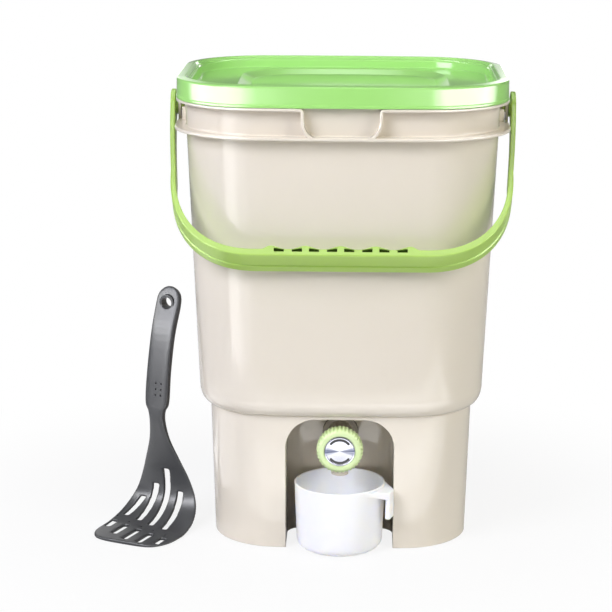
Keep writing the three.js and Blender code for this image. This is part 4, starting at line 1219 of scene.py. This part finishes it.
LID_LEFT_PROFILE = (
    (0, 0), (0.11, 0.15), (0.23, 0.65), (0.37, 1), (0.56, 1), (0.69, 0.85), (0.79, 0.55), (0.88, 0.2), (0.95, 0.04),
)
LID_RIGHT_PROFILE = (
    (0, 0.05), (0.105, 0.15), (0.19, 0.6), (0.286, 1), (0.67, 1), (0.79, 0.6), (0.905, 0.2), (1, 0),
)
BODY_PROFILE = ((0, 0.95), (0.3, 1), (0.62, 0.3), (1, 0))
FLOOR_PROFILE = ((0, 0.8), (0.3, 1), (0.5, 0.75), (0.72, 0.15), (1, 0.1))
BACK_PROFILE = (
    (0, 0.03), (0.2, 0.3), (0.26, 0.7), (0.31, 0.7), (0.35, 0.1), (0.42, 0), (0.45, 0.1), (0.54, 0.1), (0.57, 0),
    (0.66, 0), (0.72, 0.2), (0.8, 0.3), (1, 0.1),
)


def softbox(name, location, target, width, height, brightness, tint=(1, 1, 1), diffuse=True, glossy=True,
            profile=(), spread=180):
    light = bpy.data.lights.new(name, "AREA")
    light.shape = "RECTANGLE"
    light.size, light.size_y = width, height
    light.energy = brightness * pi * width * height
    light.color = tint
    light.spread = radians(spread)
    if profile:
        tree = Tree(light)
        place = tree.add("NewGeometry", {})["Parametric"]
        across = tree.add("SeparateXYZ", {"Vector": place})["X"]
        shades = tree.add("ValToRGB", {"Fac": across})["Color"]
        shades.node.color_ramp.interpolation = "EASE"
        stops = shades.node.color_ramp.elements
        for index, (position, share) in enumerate(profile):
            stop = stops[index] if index < len(stops) else stops.new(position)
            stop.position = position
            stop.color = (share, share, share, 1)
        tree.fill(tree.nodes["Emission"], {"Color": shades})
    obj = placed(name, light)
    obj.location = location
    way = Vector(target) - Vector(location)
    obj.rotation_euler = way.to_track_quat("-Z", "Y").to_euler()
    obj.visible_camera = False
    obj.visible_diffuse = diffuse
    obj.visible_glossy = glossy


def ring_box(name, start, end, band, brightness, profile):
    """A softbox that only reflections show, near the bin, between two angles from the front."""
    low, high = band
    middle, reach = radians((start + end) / 2), radians((end - start) / 2)
    x, y = RING_CENTRE
    height = (low + high) / 2
    softbox(name, (x + RING * sin(middle), y - RING * cos(middle), height), (x, y, height),
            2 * RING * tan(reach), high - low, brightness, diffuse=False, profile=profile)


def floor_box(name, x, y, width, depth, brightness, profile=()):
    """A softbox low over the floor that only reflections show, like light that the floor throws back."""
    softbox(name, (x, y, FLOOR_LAMP_Z), (x, y, 1), width, depth, brightness, diffuse=False, profile=profile)


def studio():
    softbox("key_left", (-1.3, -1.3, 1.55), AIM, 1.1, 1.1, 11.2, COOL)
    softbox("fill_right", (1.55, -1.05, 1.2), AIM, 0.8, 1.2, 7, WARM, glossy=False)
    softbox("top", (0.03, -0.15, 1.8), AIM, 1.4, 1.2, 0.5, glossy=False)
    softbox("top_gleam", (0.03, -0.15, 1.8), AIM, 1.4, 1.2, 12, diffuse=False)
    softbox("back_gleam", (-0.1, 1, 1.9), (0.03, 0, 0.43), 0.8, 0.7, 2.5, diffuse=False)
    softbox("cup_inside", MIDDLE + Vector((0, -0.112, 0.067)), MIDDLE + Vector((0, -0.05, 0.044)), 0.04, 0.01, 4,
            glossy=False, spread=80)
    ring_box("lid_left", -110, -3, LID_BAND, 16, LID_LEFT_PROFILE)
    ring_box("lid_right", 5, 110, LID_BAND, 16, LID_RIGHT_PROFILE)
    ring_box("body_left", -60, -24, BODY_BAND, 3.4, BODY_PROFILE)
    for near, far, brightness in ((0.14, 0.22, 2.6), (0.22, 0.34, 4), (0.34, 0.5, 2.4)):
        floor_box("floor_gleam", -0.05, -(near + far) / 2, 1.1, far - near, brightness, FLOOR_PROFILE)
    floor_box("floor_left", -0.34, 0.02, 0.3, 0.3, 1.1)
    softbox("back", (0.05, 4, 0.95), (0.05, 0, 0.95), 3.3, 1.5, 7, diffuse=False, profile=BACK_PROFILE)


# Camera

def camera():
    """The camera as it was fitted to the photograph."""
    target, distance = MIDDLE + Vector((0, 0, 0.2)), 1.95
    azimuth, elevation, roll = radians(0.6), radians(13.561), radians(0.41)
    data = bpy.data.cameras.new("camera")
    data.sensor_width = 36
    data.lens = 120.25
    data.shift_x, data.shift_y = -0.0585, 0.0164
    obj = placed("camera", data)
    flat = cos(elevation)
    away = Vector((sin(azimuth) * flat, -cos(azimuth) * flat, sin(elevation)))
    obj.location = target + away * distance
    look = (target - obj.location).normalized()
    right = look.cross(Vector((0, 0, 1))).normalized()
    up = right.cross(look)
    tilted = right * cos(roll) + up * sin(roll)
    upright = tilted.cross(look)
    obj.rotation_euler = Matrix((tilted, upright, -look)).transposed().to_euler()
    bpy.context.scene.camera = obj


camera()
stage()
world()
studio()

build_body()
build_lid()
build_seal()
build_handle()
build_knob()
build_disc()
build_tap()
build_cup()
build_masher()
build_strainer()

# Solids that are shown as they are
for node, material in (("tap_plug", WHITE), ("plug_seal", RUBBER), ("knob_screw", STEEL)):
    mesh = frame["nodes"][node].data
    mesh.materials.clear()
    mesh.materials.append(material)

bpy.context.scene.view_settings.view_transform = "Standard"
